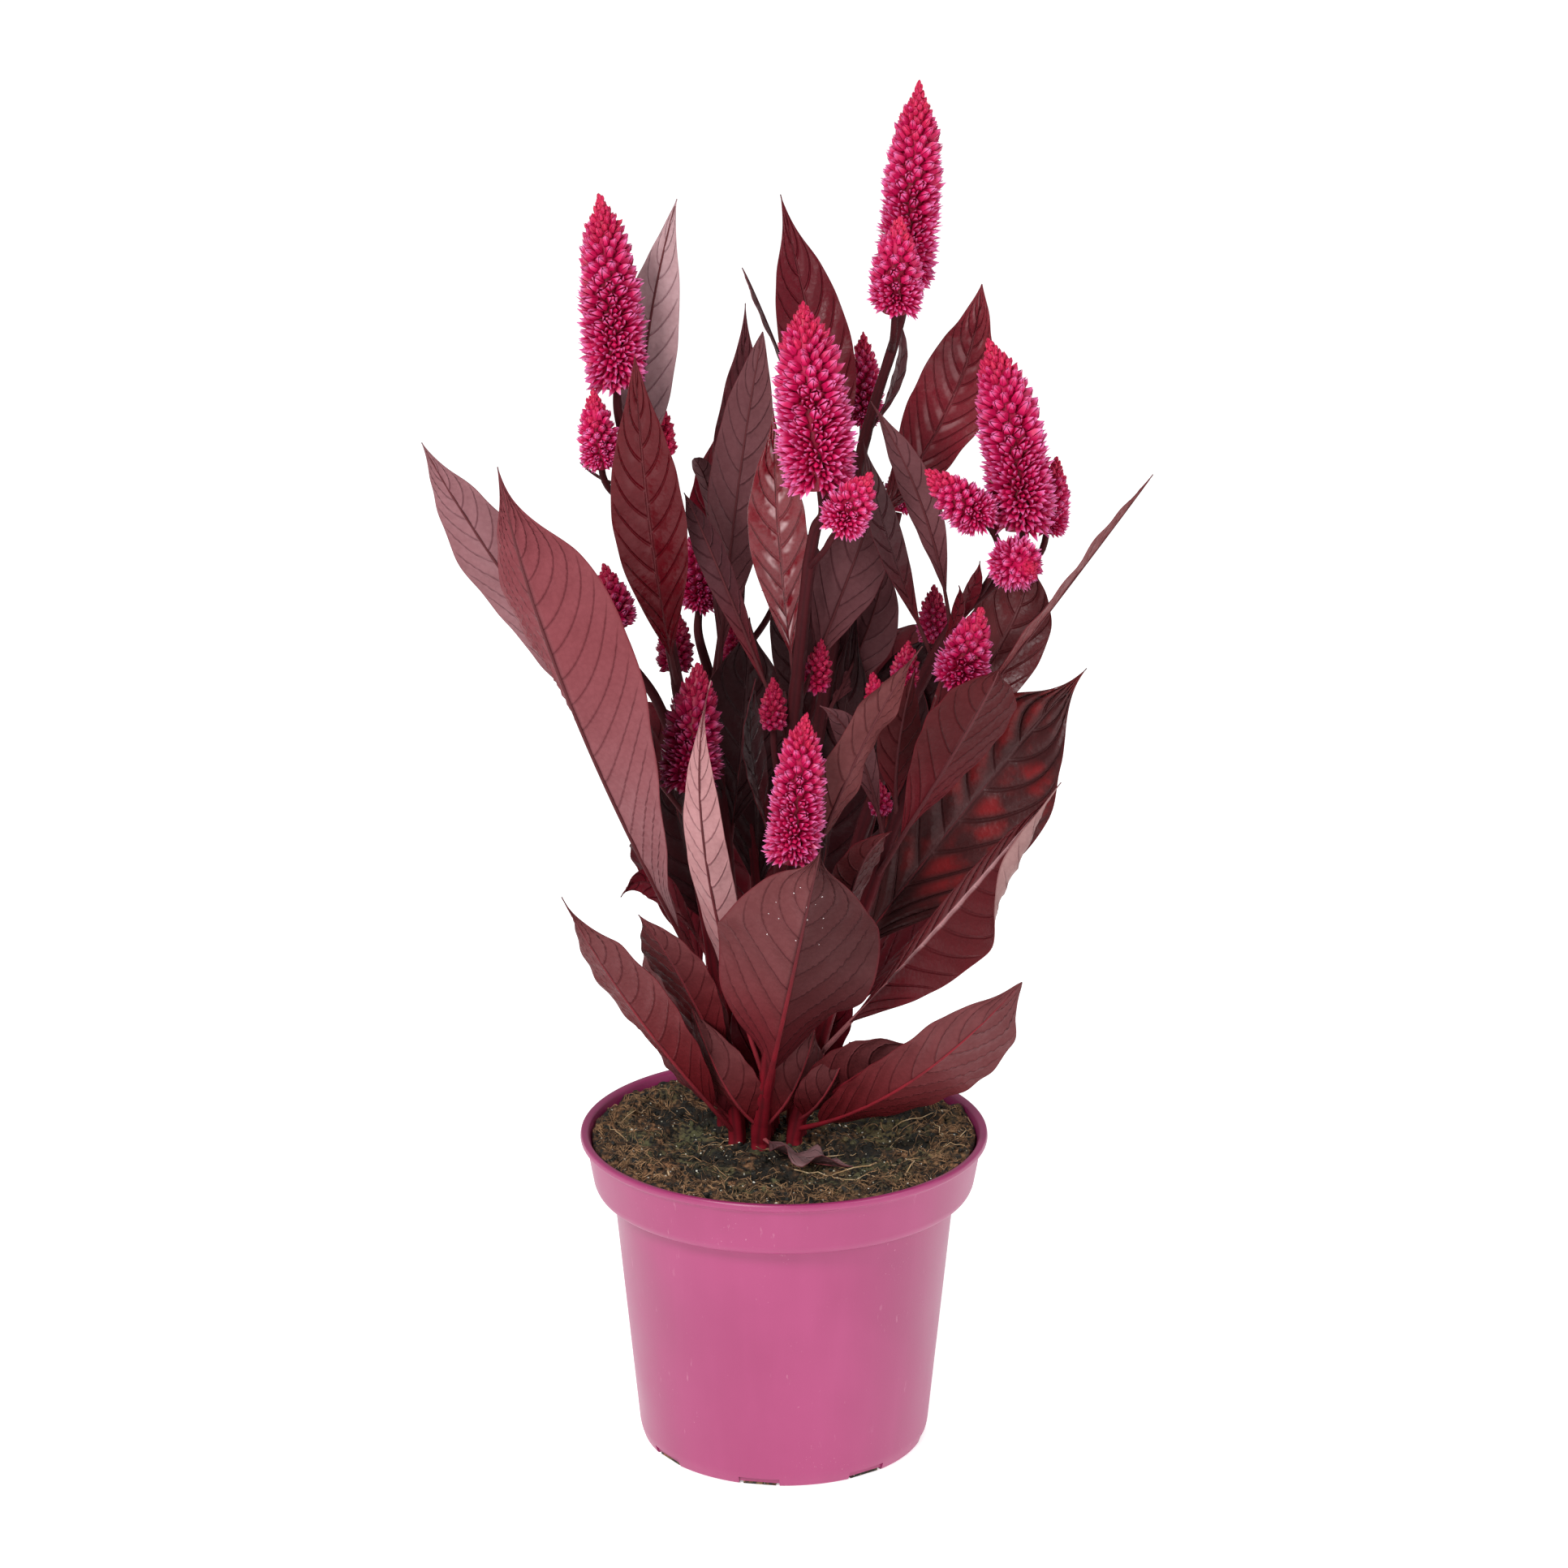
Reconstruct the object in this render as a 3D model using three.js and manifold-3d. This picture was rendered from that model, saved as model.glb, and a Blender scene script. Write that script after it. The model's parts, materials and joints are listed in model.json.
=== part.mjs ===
// A plume celosia with wheat-ear flower spikes, growing in a round plastic nursery pot.
// Units are millimetres and +Z is up. The origin is the centre of the pot's foot, on the surface that it
// stands on, and the plant's fuller, lower side faces -Y.
// The pot, the peat and each leafy stem are solids of their own. So is every flower spike, which sits on its
// stem's end.

import * as THREE from "three";
import { mergeVertices } from "three/addons/utils/BufferGeometryUtils.js";
import Module from "manifold-3d";

const wasm = await Module();
wasm.setup();

// ---------------------------------------------------------------- driving dimensions

const FIT = 0.3; // clearance between two solids that touch on the real plant
const ROUND = 32; // sides of the pot and of the peat, which share them so that their clearance is even

const POT = {
  lip: 60, // outer radius of the rolled lip
  height: 96,
  collar: 17, // depth of the band below the lip
  neck: 50.3, // outer radius of the body just under the band
  foot: 43,
  wall: 1.4,
  floor: 3.2, // height of the floor's underside above the surface that the pot stands on
};
const DRAIN = { slots: 8, width: 12, rise: 2.6, turn: -10, holes: 6, holeRadius: 4, holeRing: 24 };
const PEAT = { level: 87.5, mound: 2.2, relief: 1.3, rings: [55.4, 47, 37, 27, 17, 8, 0] };
const STEM = { sides: 5, steps: 9, rootDepth: 20, tip: 1.35, stalk: 1.1, stalkSteps: 4 };
const BLADE = { rows: 8, columns: 2, stalk: 0.12, midrib: 1.1, edge: 0.7, tip: 0.45, waves: 2.5 };
const PETIOLE = { half: 1.0, depth: 1.8 };
// Florets spread out level at a spike's base and lean up along it towards its tip.
const SPIKE = { seat: 1.9, valley: 0.6, point: 0.25, full: 0.965, leanLow: -0.045, leanHigh: 0.34 };

const COLOURS = { pot: 0xc0568f, peat: 0x3a2f22, stem: 0x5e1a22, spike: 0xc41467 };

// ---------------------------------------------------------------- the plant's plan

// Each stem starts at its foot in the peat, passes its via points and ends under its own spike.
// A leaf leaves its stem at a height, and its midrib is an arc through its middle to its tip. Width is its
// widest, peak says where along the blade that is, and face is the way that its upper side looks. Fold lifts
// its edges and wave ripples them, both in degrees.
const STEMS = [
  {
    name: "tall", foot: [-4, 15], thick: 2.9, via: [[3, 18, 166], [14, 20, 238], [22, 19, 295]],
    spike: { base: [34, 18, 344], tip: [38, 20, 402], radius: 8.2, around: 9, rows: 16 },
    sides: [{ height: 325, base: [31, 1, 340], tip: [32, -2, 368], radius: 7.8, around: 8, rows: 9 }],
    leaves: [
      { height: 282, middle: [10, 28, 321], tip: [-1, 34, 367], width: 21, face: [0.1, -1, 0.3], fold: 14 },
      { height: 272, middle: [-2, 35, 322], tip: [-12, 38, 345], width: 10, face: [-1, 0.1, 0.4], fold: 12 },
      {
        height: 264, middle: [46, 26, 304], tip: [56, 20, 344],
        width: 24, face: [-0.2, -1, 0.2], fold: 26, wave: 6,
      },
      { height: 299, middle: [32, 24, 316], tip: [33, 28, 333], width: 6, face: [1, -0.6, 0.2], rows: 6 },
      { height: 213, middle: [23, 21, 239], tip: [30, 26, 263], width: 17, face: [0.2, 1, 0.2], fold: 14 },
      { height: 214, middle: [4, 42, 250], tip: [-3, 58, 268], width: 18, face: [0.2, -0.6, 1], fold: 12 },
    ],
  },
  {
    name: "centre", foot: [-6, 6], thick: 3.1, via: [[-2, -1, 156], [5, -14, 234], [9, -26, 284]],
    spike: { base: [10, -30, 297], tip: [5, -26, 349], radius: 10.4, around: 10, rows: 15 },
    sides: [
      { height: 272, base: [15, -39, 288], tip: [24, -43, 305], radius: 7, around: 7, rows: 7 },
      { height: 205, base: [8, 0, 227], tip: [10, -2, 244], radius: 4.4, around: 6, rows: 6 },
      { height: 196, base: [-3, -15, 222], tip: [-3, -17, 237], radius: 4.4, around: 6, rows: 6 },
    ],
    leaves: [
      {
        height: 234, middle: [-1, -17, 276], tip: [-3, -14, 316],
        width: 18, face: [-0.1, -1, 0.2], fold: 20,
      },
      {
        height: 216, middle: [-18, -9, 267], tip: [-28, -11, 291],
        width: 13, face: [-0.5, 1, 0.3], fold: 14,
      },
      { height: 226, middle: [17, -6, 262], tip: [28, -2, 292], width: 20, face: [0, 1, 0.3], fold: 10 },
      {
        height: 178, middle: [-9, -6, 210], tip: [-8, -8, 236],
        width: 10, face: [1, -0.8, 0.3], fold: 18, rows: 7,
      },
    ],
  },
  {
    name: "left", foot: [-13, 11], thick: 2.7, via: [[-20, 7, 155], [-29, 2, 222], [-39, -3, 279]],
    spike: { base: [-46, -5, 320], tip: [-51, -5, 375], radius: 9.4, around: 9, rows: 15, bend: [1.5, 0, 0] },
    sides: [
      { height: 283, base: [-51, -13, 299], tip: [-53, -16, 322], radius: 6, around: 7, rows: 7 },
      { height: 279, base: [-33, 7, 297], tip: [-34, 9, 314], radius: 5.2, around: 6, rows: 6 },
    ],
    leaves: [
      { height: 228, middle: [-37, -16, 278], tip: [-41, -25, 329], width: 21, face: [0, -1, 0.2], fold: 14 },
      { height: 292, middle: [-35, 8, 336], tip: [-31, 15, 368], width: 15, face: [0.3, 1, 0.2], fold: 16 },
      { height: 291, middle: [-50, -9, 294], tip: [-57, -12, 300], width: 3, face: [0, 0, 1], rows: 5 },
      {
        height: 185, middle: [-73, -12, 259], tip: [-100, -26, 309],
        width: 24, face: [0.3, 1, 0.3], fold: 12, wave: 5,
      },
    ],
  },
  {
    name: "right", foot: [4, 9], thick: 2.8, via: [[15, 1, 161], [33, -3, 219], [50, -6, 254]],
    spike: { base: [67, -6, 279], tip: [57, 0, 333], radius: 9.6, around: 10, rows: 15, bend: [4, 0, 0] },
    sides: [
      { height: 266, base: [56, -12, 283], tip: [39, -20, 300], radius: 7, around: 7, rows: 8 },
      { height: 268, base: [75, 13, 273], tip: [78, 17, 295], radius: 6, around: 6, rows: 7 },
      { height: 259, base: [63, -19, 273], tip: [69, -36, 276], radius: 7.5, around: 7, rows: 6 },
      { height: 236, base: [43, 8, 242], tip: [43, 10, 259], radius: 5, around: 6, rows: 6 },
    ],
    leaves: [
      { height: 250, middle: [39, -8, 286], tip: [24, -14, 318], width: 11, face: [0.4, 1, 0.3], fold: 10 },
      { height: 241, middle: [30, -10, 275], tip: [22, -14, 307], width: 9, face: [0.3, -1, 0.3], fold: 14 },
      {
        height: 190, middle: [60, 12, 236], tip: [70, 18, 264],
        width: 25, face: [-0.1, -1, 0.4], fold: 10, wave: 4,
      },
      {
        height: 134, middle: [50, -8, 194], tip: [83, -15, 238],
        width: 43, face: [-0.3, -1, 0.3], fold: 10, wave: 7,
      },
    ],
  },
  {
    name: "front", foot: [-7, -2], thick: 3, via: [[-3, -28, 140], [0, -50, 178]],
    spike: { base: [2, -59, 198], tip: [6, -58, 241], radius: 9.2, around: 9, rows: 12 },
    sides: [],
    leaves: [
      {
        height: 106, middle: [3, -53, 165], tip: [10, -80, 209],
        width: 49, peak: 0.48, face: [0.1, 1, 0.5], fold: 12, wave: 6,
      },
      {
        height: 116, middle: [-22, -41, 194], tip: [-20, -58, 250],
        width: 15, peak: 0.4, point: 1.8, face: [0.4, 1, 0.3],
      },
      {
        height: 168, middle: [19, -47, 222], tip: [38, -52, 258],
        width: 16, face: [-0.7, 1, 0.3], fold: 22, wave: 10,
      },
      { height: 95, middle: [5, -13, 95], tip: [22, -17, 94], width: 8, face: [0, 0.3, 1], fold: 8, rows: 6 },
    ],
  },
  {
    name: "shade", foot: [-14, 3], thick: 2.6, via: [[-22, -13, 162]],
    spike: { base: [-27, -22, 207], tip: [-24, -18, 244], radius: 8.4, around: 9, rows: 11 },
    sides: [],
    leaves: [
      {
        height: 138, middle: [-58, -36, 233], tip: [-78, -46, 307],
        width: 38, peak: 0.55, face: [0.5, 0.87, 0.2], fold: 26,
      },
      {
        height: 93, middle: [-41, -30, 141], tip: [-58, -50, 179],
        width: 25, peak: 0.55, face: [0.6, 0.8, 0.4], fold: 26,
      },
      {
        height: 150, middle: [-36, -5, 172], tip: [-47, -10, 171],
        width: 9, face: [0, 0.4, 1], fold: 15, rows: 6,
      },
      {
        height: 122, middle: [-30, -30, 160], tip: [-41, -40, 176],
        width: 14, face: [0.5, 1, 0.4], fold: 24, rows: 7,
      },
      {
        height: 104, middle: [-30, -8, 143], tip: [-36, -16, 161],
        width: 17, face: [0.6, 0.8, 0.3], fold: 12, rows: 7,
      },
    ],
  },
  {
    name: "bud_left", foot: [-18, 17], thick: 2.3, via: [[-27, 17, 189], [-37, 20, 221]],
    spike: { base: [-48, 20, 243], tip: [-52, 22, 262], radius: 6.4, around: 7, rows: 8 },
    sides: [],
    leaves: [
      { height: 165, middle: [-48, 42, 205], tip: [-66, 56, 216], width: 24, face: [0.7, -0.4, 1], fold: 12 },
      { height: 125, middle: [-34, 42, 158], tip: [-40, 64, 160], width: 26, face: [0.6, -0.5, 1], fold: 14 },
    ],
  },
  {
    name: "back_left", foot: [-11, 21], thick: 2.6, via: [[-16, 28, 160], [-21, 34, 220]],
    spike: { base: [-25, 41, 243], tip: [-24, 42, 272], radius: 6.4, around: 7, rows: 10 },
    sides: [
      { height: 200, base: [-32, 24, 229], tip: [-31, 26, 247], radius: 5.6, around: 6, rows: 6 },
      { height: 200, base: [-14, 44, 225], tip: [-14, 47, 240], radius: 5, around: 6, rows: 6 },
    ],
    leaves: [
      { height: 214, middle: [-14, 19, 278], tip: [-6, 12, 332], width: 17, face: [0.2, 1, 0.2], fold: 12 },
      { height: 220, middle: [-14, 31, 282], tip: [-11, 27, 337], width: 17, face: [0.3, -1, 0.3], fold: 16 },
      {
        height: 205, middle: [-19, 35, 262], tip: [-26, 34, 290],
        width: 6, peak: 0.8, face: [0.5, 1, 0.2], rows: 7,
      },
      {
        height: 140, middle: [-38, 62, 189], tip: [-52, 77, 199],
        width: 28, face: [0.3, -0.6, 1], fold: 12, wave: 5,
      },
    ],
  },
  {
    name: "low_right", foot: [3, 0], thick: 2.6, via: [[26, -15, 179], [42, -28, 226]],
    spike: { base: [48, -32, 241], tip: [55, -36, 265], radius: 7.8, around: 8, rows: 9 },
    sides: [{ height: 172, base: [28, -8, 192], tip: [27, -10, 203], radius: 3.4, around: 6, rows: 5 }],
    leaves: [
      { height: 178, middle: [49, -46, 229], tip: [59, -54, 252], width: 28, face: [-0.5, 1, 0.3], fold: 12 },
      {
        height: 205, middle: [77, -26, 265], tip: [100, -14, 293],
        width: 13, face: [-0.7, 0.1, 0.7], fold: 14,
      },
      {
        height: 119, middle: [46, -38, 175], tip: [77, -46, 217],
        width: 40, face: [-0.3, -0.8, 0.5], fold: 18, wave: 6,
      },
      {
        height: 150, middle: [20, -42, 187], tip: [30, -50, 204],
        width: 16, face: [-0.5, 1, 0.3], fold: 14, rows: 7,
      },
      {
        height: 96, middle: [35, -32, 122], tip: [67, -46, 158],
        width: 32, point: 0.85, face: [-0.3, 1, 0.4], fold: 14,
      },
    ],
  },
  {
    name: "back", foot: [3, 19], thick: 2.6, via: [[8, 35, 160], [18, 44, 240]],
    spike: { base: [23, 46, 297], tip: [23, 49, 324], radius: 6, around: 7, rows: 9 },
    sides: [{ height: 250, base: [34, 58, 268], tip: [37, 62, 286], radius: 5.4, around: 6, rows: 6 }],
    leaves: [
      { height: 236, middle: [20, 66, 268], tip: [14, 80, 285], width: 17, face: [0.1, -0.8, 0.6], fold: 12 },
      {
        height: 180, middle: [36, 64, 218], tip: [53, 75, 224],
        width: 26, face: [-0.4, -0.6, 1], fold: 12, wave: 5,
      },
      {
        height: 125, middle: [30, 61, 163], tip: [43, 75, 164],
        width: 32, face: [-0.3, -0.5, 1], fold: 12, wave: 6,
      },
      {
        height: 106, middle: [42, 34, 146], tip: [60, 46, 150],
        width: 30, face: [-0.6, -0.3, 1], fold: 14, wave: 5,
      },
      { height: 150, middle: [28, 30, 200], tip: [36, 28, 236], width: 28, face: [-0.4, -1, 0.4], fold: 10 },
    ],
  },
  {
    name: "far_back", foot: [-5, 26], thick: 2.5, via: [[-8, 46, 150], [-14, 58, 215]],
    spike: { base: [-13, 62, 256], tip: [-14, 64, 292], radius: 8, around: 8, rows: 10 },
    sides: [{ height: 222, base: [-2, 66, 240], tip: [4, 72, 256], radius: 5.2, around: 6, rows: 6 }],
    leaves: [
      {
        height: 218, middle: [-20, 72, 260], tip: [-20, 79, 287],
        width: 17, face: [0.3, -0.8, 0.5], fold: 14,
      },
      {
        height: 165, middle: [-8, 72, 205], tip: [-8, 80, 211],
        width: 26, face: [0, -0.8, 1], fold: 12, wave: 5,
      },
      {
        height: 110, middle: [-10, 66, 155], tip: [-12, 80, 156],
        width: 34, face: [0, -0.5, 1], fold: 12, wave: 6,
      },
      { height: 140, middle: [-8, 52, 188], tip: [-6, 50, 226], width: 30, face: [0.1, -1, 0.4], fold: 10 },
    ],
  },
];

// ---------------------------------------------------------------- geometry helpers

const vector = (p) => new THREE.Vector3(...p);
const radians = THREE.MathUtils.degToRad;

/** An indexed geometry from a list of points and a list of triangles. */
function meshOf(points, triangles) {
  const flat = new Float32Array(points.flatMap((p) => [p.x, p.y, p.z]));
  return new THREE.BufferGeometry()
    .setAttribute("position", new THREE.BufferAttribute(flat, 3))
    .setIndex(triangles.flat());
}

/** Turns a closed geometry into a solid that can be joined or cut. */
function solidOf(geometry) {
  const bare = geometry.clone();
  bare.deleteAttribute("normal");
  bare.deleteAttribute("uv");
  const merged = mergeVertices(bare, 1e-4);
  return new wasm.Manifold(
    new wasm.Mesh({
      numProp: 3,
      vertProperties: new Float32Array(merged.attributes.position.array),
      triVerts: new Uint32Array(merged.index.array),
    }),
  );
}

/** Turns a solid back into a geometry. */
function geometryOf(solid) {
  const { vertProperties, triVerts } = solid.getMesh();
  return new THREE.BufferGeometry()
    .setAttribute("position", new THREE.BufferAttribute(vertProperties, 3))
    .setIndex(new THREE.BufferAttribute(triVerts, 1));
}

/** Joins rings of points, each counter-clockwise seen from the last one, into a skin with flat ends. */
function loft(rings) {
  const points = rings.flat();
  const around = rings[0].length;
  const last = (rings.length - 1) * around;
  const triangles = [];
  for (let i = 0; i < rings.length - 1; i++)
    for (let j = 0; j < around; j++) {
      const a = i * around + j;
      const b = i * around + ((j + 1) % around);
      triangles.push([a, b, b + around], [a, b + around, a + around]);
    }
  for (let j = 1; j < around - 1; j++) triangles.push([0, j + 1, j], [last, last + j, last + j + 1]);
  return meshOf(points, triangles);
}

/** A ring of points round a centre, square to a direction. */
function ring(centre, direction, radius, sides, turn = 0) {
  const side = new THREE.Vector3(1, 0, 0).addScaledVector(direction, -direction.x).normalize();
  const up = new THREE.Vector3().crossVectors(direction, side);
  return Array.from({ length: sides }, (_, j) => {
    const angle = turn + (2 * Math.PI * j) / sides;
    return centre
      .clone()
      .addScaledVector(side, radius * Math.cos(angle))
      .addScaledVector(up, radius * Math.sin(angle));
  });
}

/** A tube of changing radius along a curve. */
function tube(curve, steps, sides, radiusAt) {
  return loft(
    Array.from({ length: steps + 1 }, (_, i) => {
      const t = i / steps;
      return ring(curve.getPointAt(t), curve.getTangentAt(t), radiusAt(t), sides);
    }),
  );
}

// ---------------------------------------------------------------- the pot and the peat

/** The pot: a tapered cup with a banded rim, a rolled lip, a foot ring, and drain slots and holes. */
function makePot() {
  const { lip, height, collar, neck, foot, wall, floor } = POT;
  const bandTop = lip - 1.8;
  const bandFoot = lip - 4;
  const shoulder = height - collar;
  const profile = [
    [0, floor],
    [foot - 4.2, floor],
    [foot - 4, 0],
    [foot - 1.2, 0],
    [foot, 3.5],
    [neck, shoulder - 2],
    [bandFoot - 1.6, shoulder],
    [bandFoot, shoulder + 2.5],
    [bandTop, height - 2.4],
    [lip, height - 1.7],
    [lip - 0.4, height],
    [lip - 2.4, height - 0.4],
    [bandTop - wall, height - 2.6],
    [bandFoot - wall, shoulder + 2.9],
    [neck - wall, shoulder - 0.8],
    [foot - wall - 0.1, floor + wall],
    [0, floor + wall],
  ];
  const outline = profile.map((p) => new THREE.Vector2(...p));
  let pot = solidOf(new THREE.LatheGeometry(outline, ROUND).rotateX(Math.PI / 2));
  for (let i = 0; i < DRAIN.slots; i++) {
    const slot = new THREE.BoxGeometry(DRAIN.width, 12, 2 * DRAIN.rise).translate(0, -foot, 0);
    pot = pot.subtract(solidOf(slot.rotateZ((2 * Math.PI * i) / DRAIN.slots + radians(DRAIN.turn))));
  }
  for (let i = 0; i < DRAIN.holes; i++) {
    const hole = new THREE.CylinderGeometry(DRAIN.holeRadius, DRAIN.holeRadius, 8, 8).rotateX(Math.PI / 2);
    hole.translate(DRAIN.holeRing, 0, floor).rotateZ((2 * Math.PI * i) / DRAIN.holes);
    pot = pot.subtract(solidOf(hole));
  }
  return geometryOf(pot);
}

/** Height of the peat's crumbled top above its level. */
function peatRelief(x, y) {
  const r = Math.hypot(x, y);
  const mound = PEAT.mound * (1 - (r / PEAT.rings[0]) ** 2);
  const lumps = Math.sin(0.31 * x + 1.7) * Math.cos(0.27 * y - 0.6) + 0.6 * Math.sin(0.53 * y + 0.41 * x);
  return mound + 0.5 * PEAT.relief * lumps;
}

/** The peat: it fills the pot up to just under the lip, and has a plain hole for each stem. */
function makePeat() {
  const { height, collar, neck, foot, wall, floor } = POT;
  const shoulder = height - collar;
  const low = floor + wall + FIT;
  const walls = [
    [0, low],
    [foot - wall - 0.1 - FIT, low],
    [neck - wall - FIT, shoulder - 0.8],
    [POT.lip - 4 - wall - FIT, shoulder + 2.9 + FIT],
  ];
  const top = PEAT.rings.map((r) => [r, PEAT.level]);
  const profile = [...walls, ...top].map((p) => new THREE.Vector2(...p));
  const lathe = new THREE.LatheGeometry(profile, ROUND).rotateX(Math.PI / 2);
  const at = lathe.attributes.position;
  for (let i = 0; i < at.count; i++)
    if (Math.abs(at.getZ(i) - PEAT.level) < 0.01) at.setZ(i, PEAT.level + peatRelief(at.getX(i), at.getY(i)));
  let peat = solidOf(lathe);
  for (const stem of STEMS) peat = peat.subtract(solidOf(stemFoot(stem, FIT, 10)));
  return geometryOf(peat);
}

/** The straight foot of a stem, with room added round and under it, up to a height over the peat. */
function stemFoot(stem, room, over) {
  const low = new THREE.Vector3(...stem.foot, PEAT.level - STEM.rootDepth - room);
  const high = new THREE.Vector3(...stem.foot, PEAT.level + over);
  const radius = stem.thick + room / Math.cos(Math.PI / STEM.sides);
  const upward = new THREE.Vector3(0, 0, 1);
  return loft([low, high].map((centre) => ring(centre, upward, radius, STEM.sides)));
}

// ---------------------------------------------------------------- stems and leaves

/** The way a spike's axis points at its base. */
function spikeDirection({ base, tip, bend = [0, 0, 0] }) {
  return vector(tip).sub(vector(base)).addScaledVector(vector(bend), 2).normalize();
}

/** The curve of a stem from the top of its straight foot to just under its spike. */
function stemCurve(stem) {
  const axis = spikeDirection(stem.spike);
  const end = vector(stem.spike.base).addScaledVector(axis, -FIT);
  const approach = end.clone().addScaledVector(axis, -7);
  const start = new THREE.Vector3(...stem.foot, PEAT.level + PEAT.mound);
  const lift = start.clone().add(new THREE.Vector3(0, 0, 4));
  const stations = [start, lift, ...stem.via.map(vector), approach, end];
  return new THREE.CatmullRomCurve3(stations, false, "centripetal");
}

/** The point at a height on a stem's centre line, which is straight from ring to ring. */
function pointAtHeight(curve, height) {
  const spine = curve.getSpacedPoints(STEM.steps);
  const i = Math.max(1, spine.findIndex((p) => p.z > height));
  return spine[i - 1].clone().lerp(spine[i], (height - spine[i - 1].z) / (spine[i].z - spine[i - 1].z));
}

/** A side shoot's stalk, from its stem to just under its spike. */
function makeStalk(curve, side) {
  const from = pointAtHeight(curve, side.height);
  const axis = spikeDirection(side);
  const end = vector(side.base).addScaledVector(axis, -FIT);
  const reach = 0.45 * end.distanceTo(from);
  const leave = from.clone().lerp(end, 0.3);
  const arrive = end.clone().addScaledVector(axis, -reach);
  const path = new THREE.CubicBezierCurve3(from, leave, arrive, end);
  return tube(path, STEM.stalkSteps, STEM.sides, (t) => STEM.stalk * (1.15 - 0.15 * t));
}

/** Share of a blade's widest half-width at a place along it, 0 where the blade starts and 1 at its tip. */
function bladeWidth(s, peak, point) {
  const p = (point * peak) / (1 - peak);
  return (s / peak) ** p * ((1 - s) / (1 - peak)) ** point;
}

/** A leaf: a petiole that widens into a folded, waved blade with a drawn-out tip. */
function makeLeaf(curve, leaf) {
  const { width, peak = 0.5, point = 1.35, fold = 15, wave = 0, rows = BLADE.rows } = leaf;
  const { columns, stalk, waves } = BLADE;
  const root = pointAtHeight(curve, leaf.height);
  const tip = vector(leaf.tip);
  const bend = vector(leaf.middle).multiplyScalar(2).addScaledVector(root, -0.5).addScaledVector(tip, -0.5);
  const midrib = new THREE.QuadraticBezierCurve3(root, bend, tip);
  const chord = tip.clone().sub(root).normalize();
  const upper = vector(leaf.face);
  upper.addScaledVector(chord, -upper.dot(chord)).normalize();
  const across = new THREE.Vector3().crossVectors(upper, chord);
  const top = [];
  const under = [];
  for (let i = 0; i <= rows; i++) {
    const t = i / rows;
    const along = midrib.getTangent(t);
    const side = across.clone().addScaledVector(along, -across.dot(along)).normalize();
    const normal = new THREE.Vector3().crossVectors(along, side);
    const s = Math.max(0, (t - stalk) / (1 - stalk));
    const bladeHalf = s > 0 && s < 1 ? (width / 2) * bladeWidth(s, peak, point) : 0;
    const half = Math.max(bladeHalf, s < 0.5 ? PETIOLE.half : BLADE.tip);
    const isBlade = bladeHalf > PETIOLE.half;
    const thick = isBlade ? BLADE.midrib : THREE.MathUtils.lerp(PETIOLE.depth, BLADE.edge, t);
    const edge = isBlade ? BLADE.edge : 0.6 * thick;
    for (let j = 0; j <= columns; j++) {
      const c = (2 * j) / columns - 1;
      const out = Math.abs(c);
      const ripple = Math.sin(2 * Math.PI * waves * s + (c < 0 ? 2 : 0)) * out;
      const ease = 1.25 - 0.5 * Math.sin(Math.PI * s); // a blade folds closer near its ends
      const lift = radians(isBlade ? fold * ease + wave * ripple : 0);
      const facing = normal
        .clone()
        .multiplyScalar(Math.cos(lift))
        .addScaledVector(side, -Math.sign(c) * Math.sin(lift));
      const place = midrib
        .getPoint(t)
        .addScaledVector(side, c * half * Math.cos(lift))
        .addScaledVector(normal, out * half * Math.sin(lift));
      const depth = THREE.MathUtils.lerp(thick, edge, out) / 2;
      top.push(place.clone().addScaledVector(facing, depth));
      under.push(place.clone().addScaledVector(facing, -depth));
    }
  }
  return closeSheet(top, under, rows, columns);
}

/** Closes two like grids of points, one over the other, into one thin solid split alike on both faces. */
function closeSheet(top, under, rows, columns) {
  const wide = columns + 1;
  const shift = top.length;
  const triangles = [];
  for (let i = 0; i < rows; i++) {
    for (let j = 0; j < columns; j++) {
      const a = i * wide + j;
      const [b, c, d] = [a + wide, a + wide + 1, a + 1];
      triangles.push([a, b, c], [a, c, d]);
      triangles.push([a + shift, c + shift, b + shift], [a + shift, d + shift, c + shift]);
    }
    const left = i * wide + columns;
    const right = i * wide;
    triangles.push([left, left + wide, left + shift], [left + wide, left + wide + shift, left + shift]);
    triangles.push([right, right + shift, right + wide], [right + wide, right + shift, right + wide + shift]);
  }
  for (let j = 0; j < columns; j++) {
    const end = rows * wide + j;
    triangles.push([j, j + 1, j + shift], [j + 1, j + 1 + shift, j + shift]);
    triangles.push([end, end + shift, end + 1], [end + 1, end + shift, end + 1 + shift]);
  }
  return meshOf([...top, ...under], triangles);
}

/** One leafy stem: its foot, its shoot, the stalks of its side spikes and its leaves, grown together. */
function makeStem(stem) {
  const curve = stemCurve(stem);
  const radiusAt = (t) => THREE.MathUtils.lerp(stem.thick, STEM.tip, t ** 0.8);
  const pieces = [
    stemFoot(stem, 0, PEAT.mound + 1),
    tube(curve, STEM.steps, STEM.sides, radiusAt),
    ...stem.sides.map((side) => makeStalk(curve, side)),
    ...stem.leaves.map((leaf) => makeLeaf(curve, leaf)),
  ];
  return geometryOf(pieces.map(solidOf).reduce((whole, piece) => whole.add(piece)));
}

// ---------------------------------------------------------------- flower spikes

/** Share of a spike's radius at a place along it, from 0 at its base to 1 at its tip. */
function spikeOutline(u) {
  const waist = 0.5;
  if (u < 0.14) return 0.74 + 0.26 * Math.sin((Math.PI / 2) * (u / 0.14));
  if (u < waist) return 1;
  return 0.03 + 0.97 * ((1 - u) / (1 - waist)) ** 0.85;
}

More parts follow.
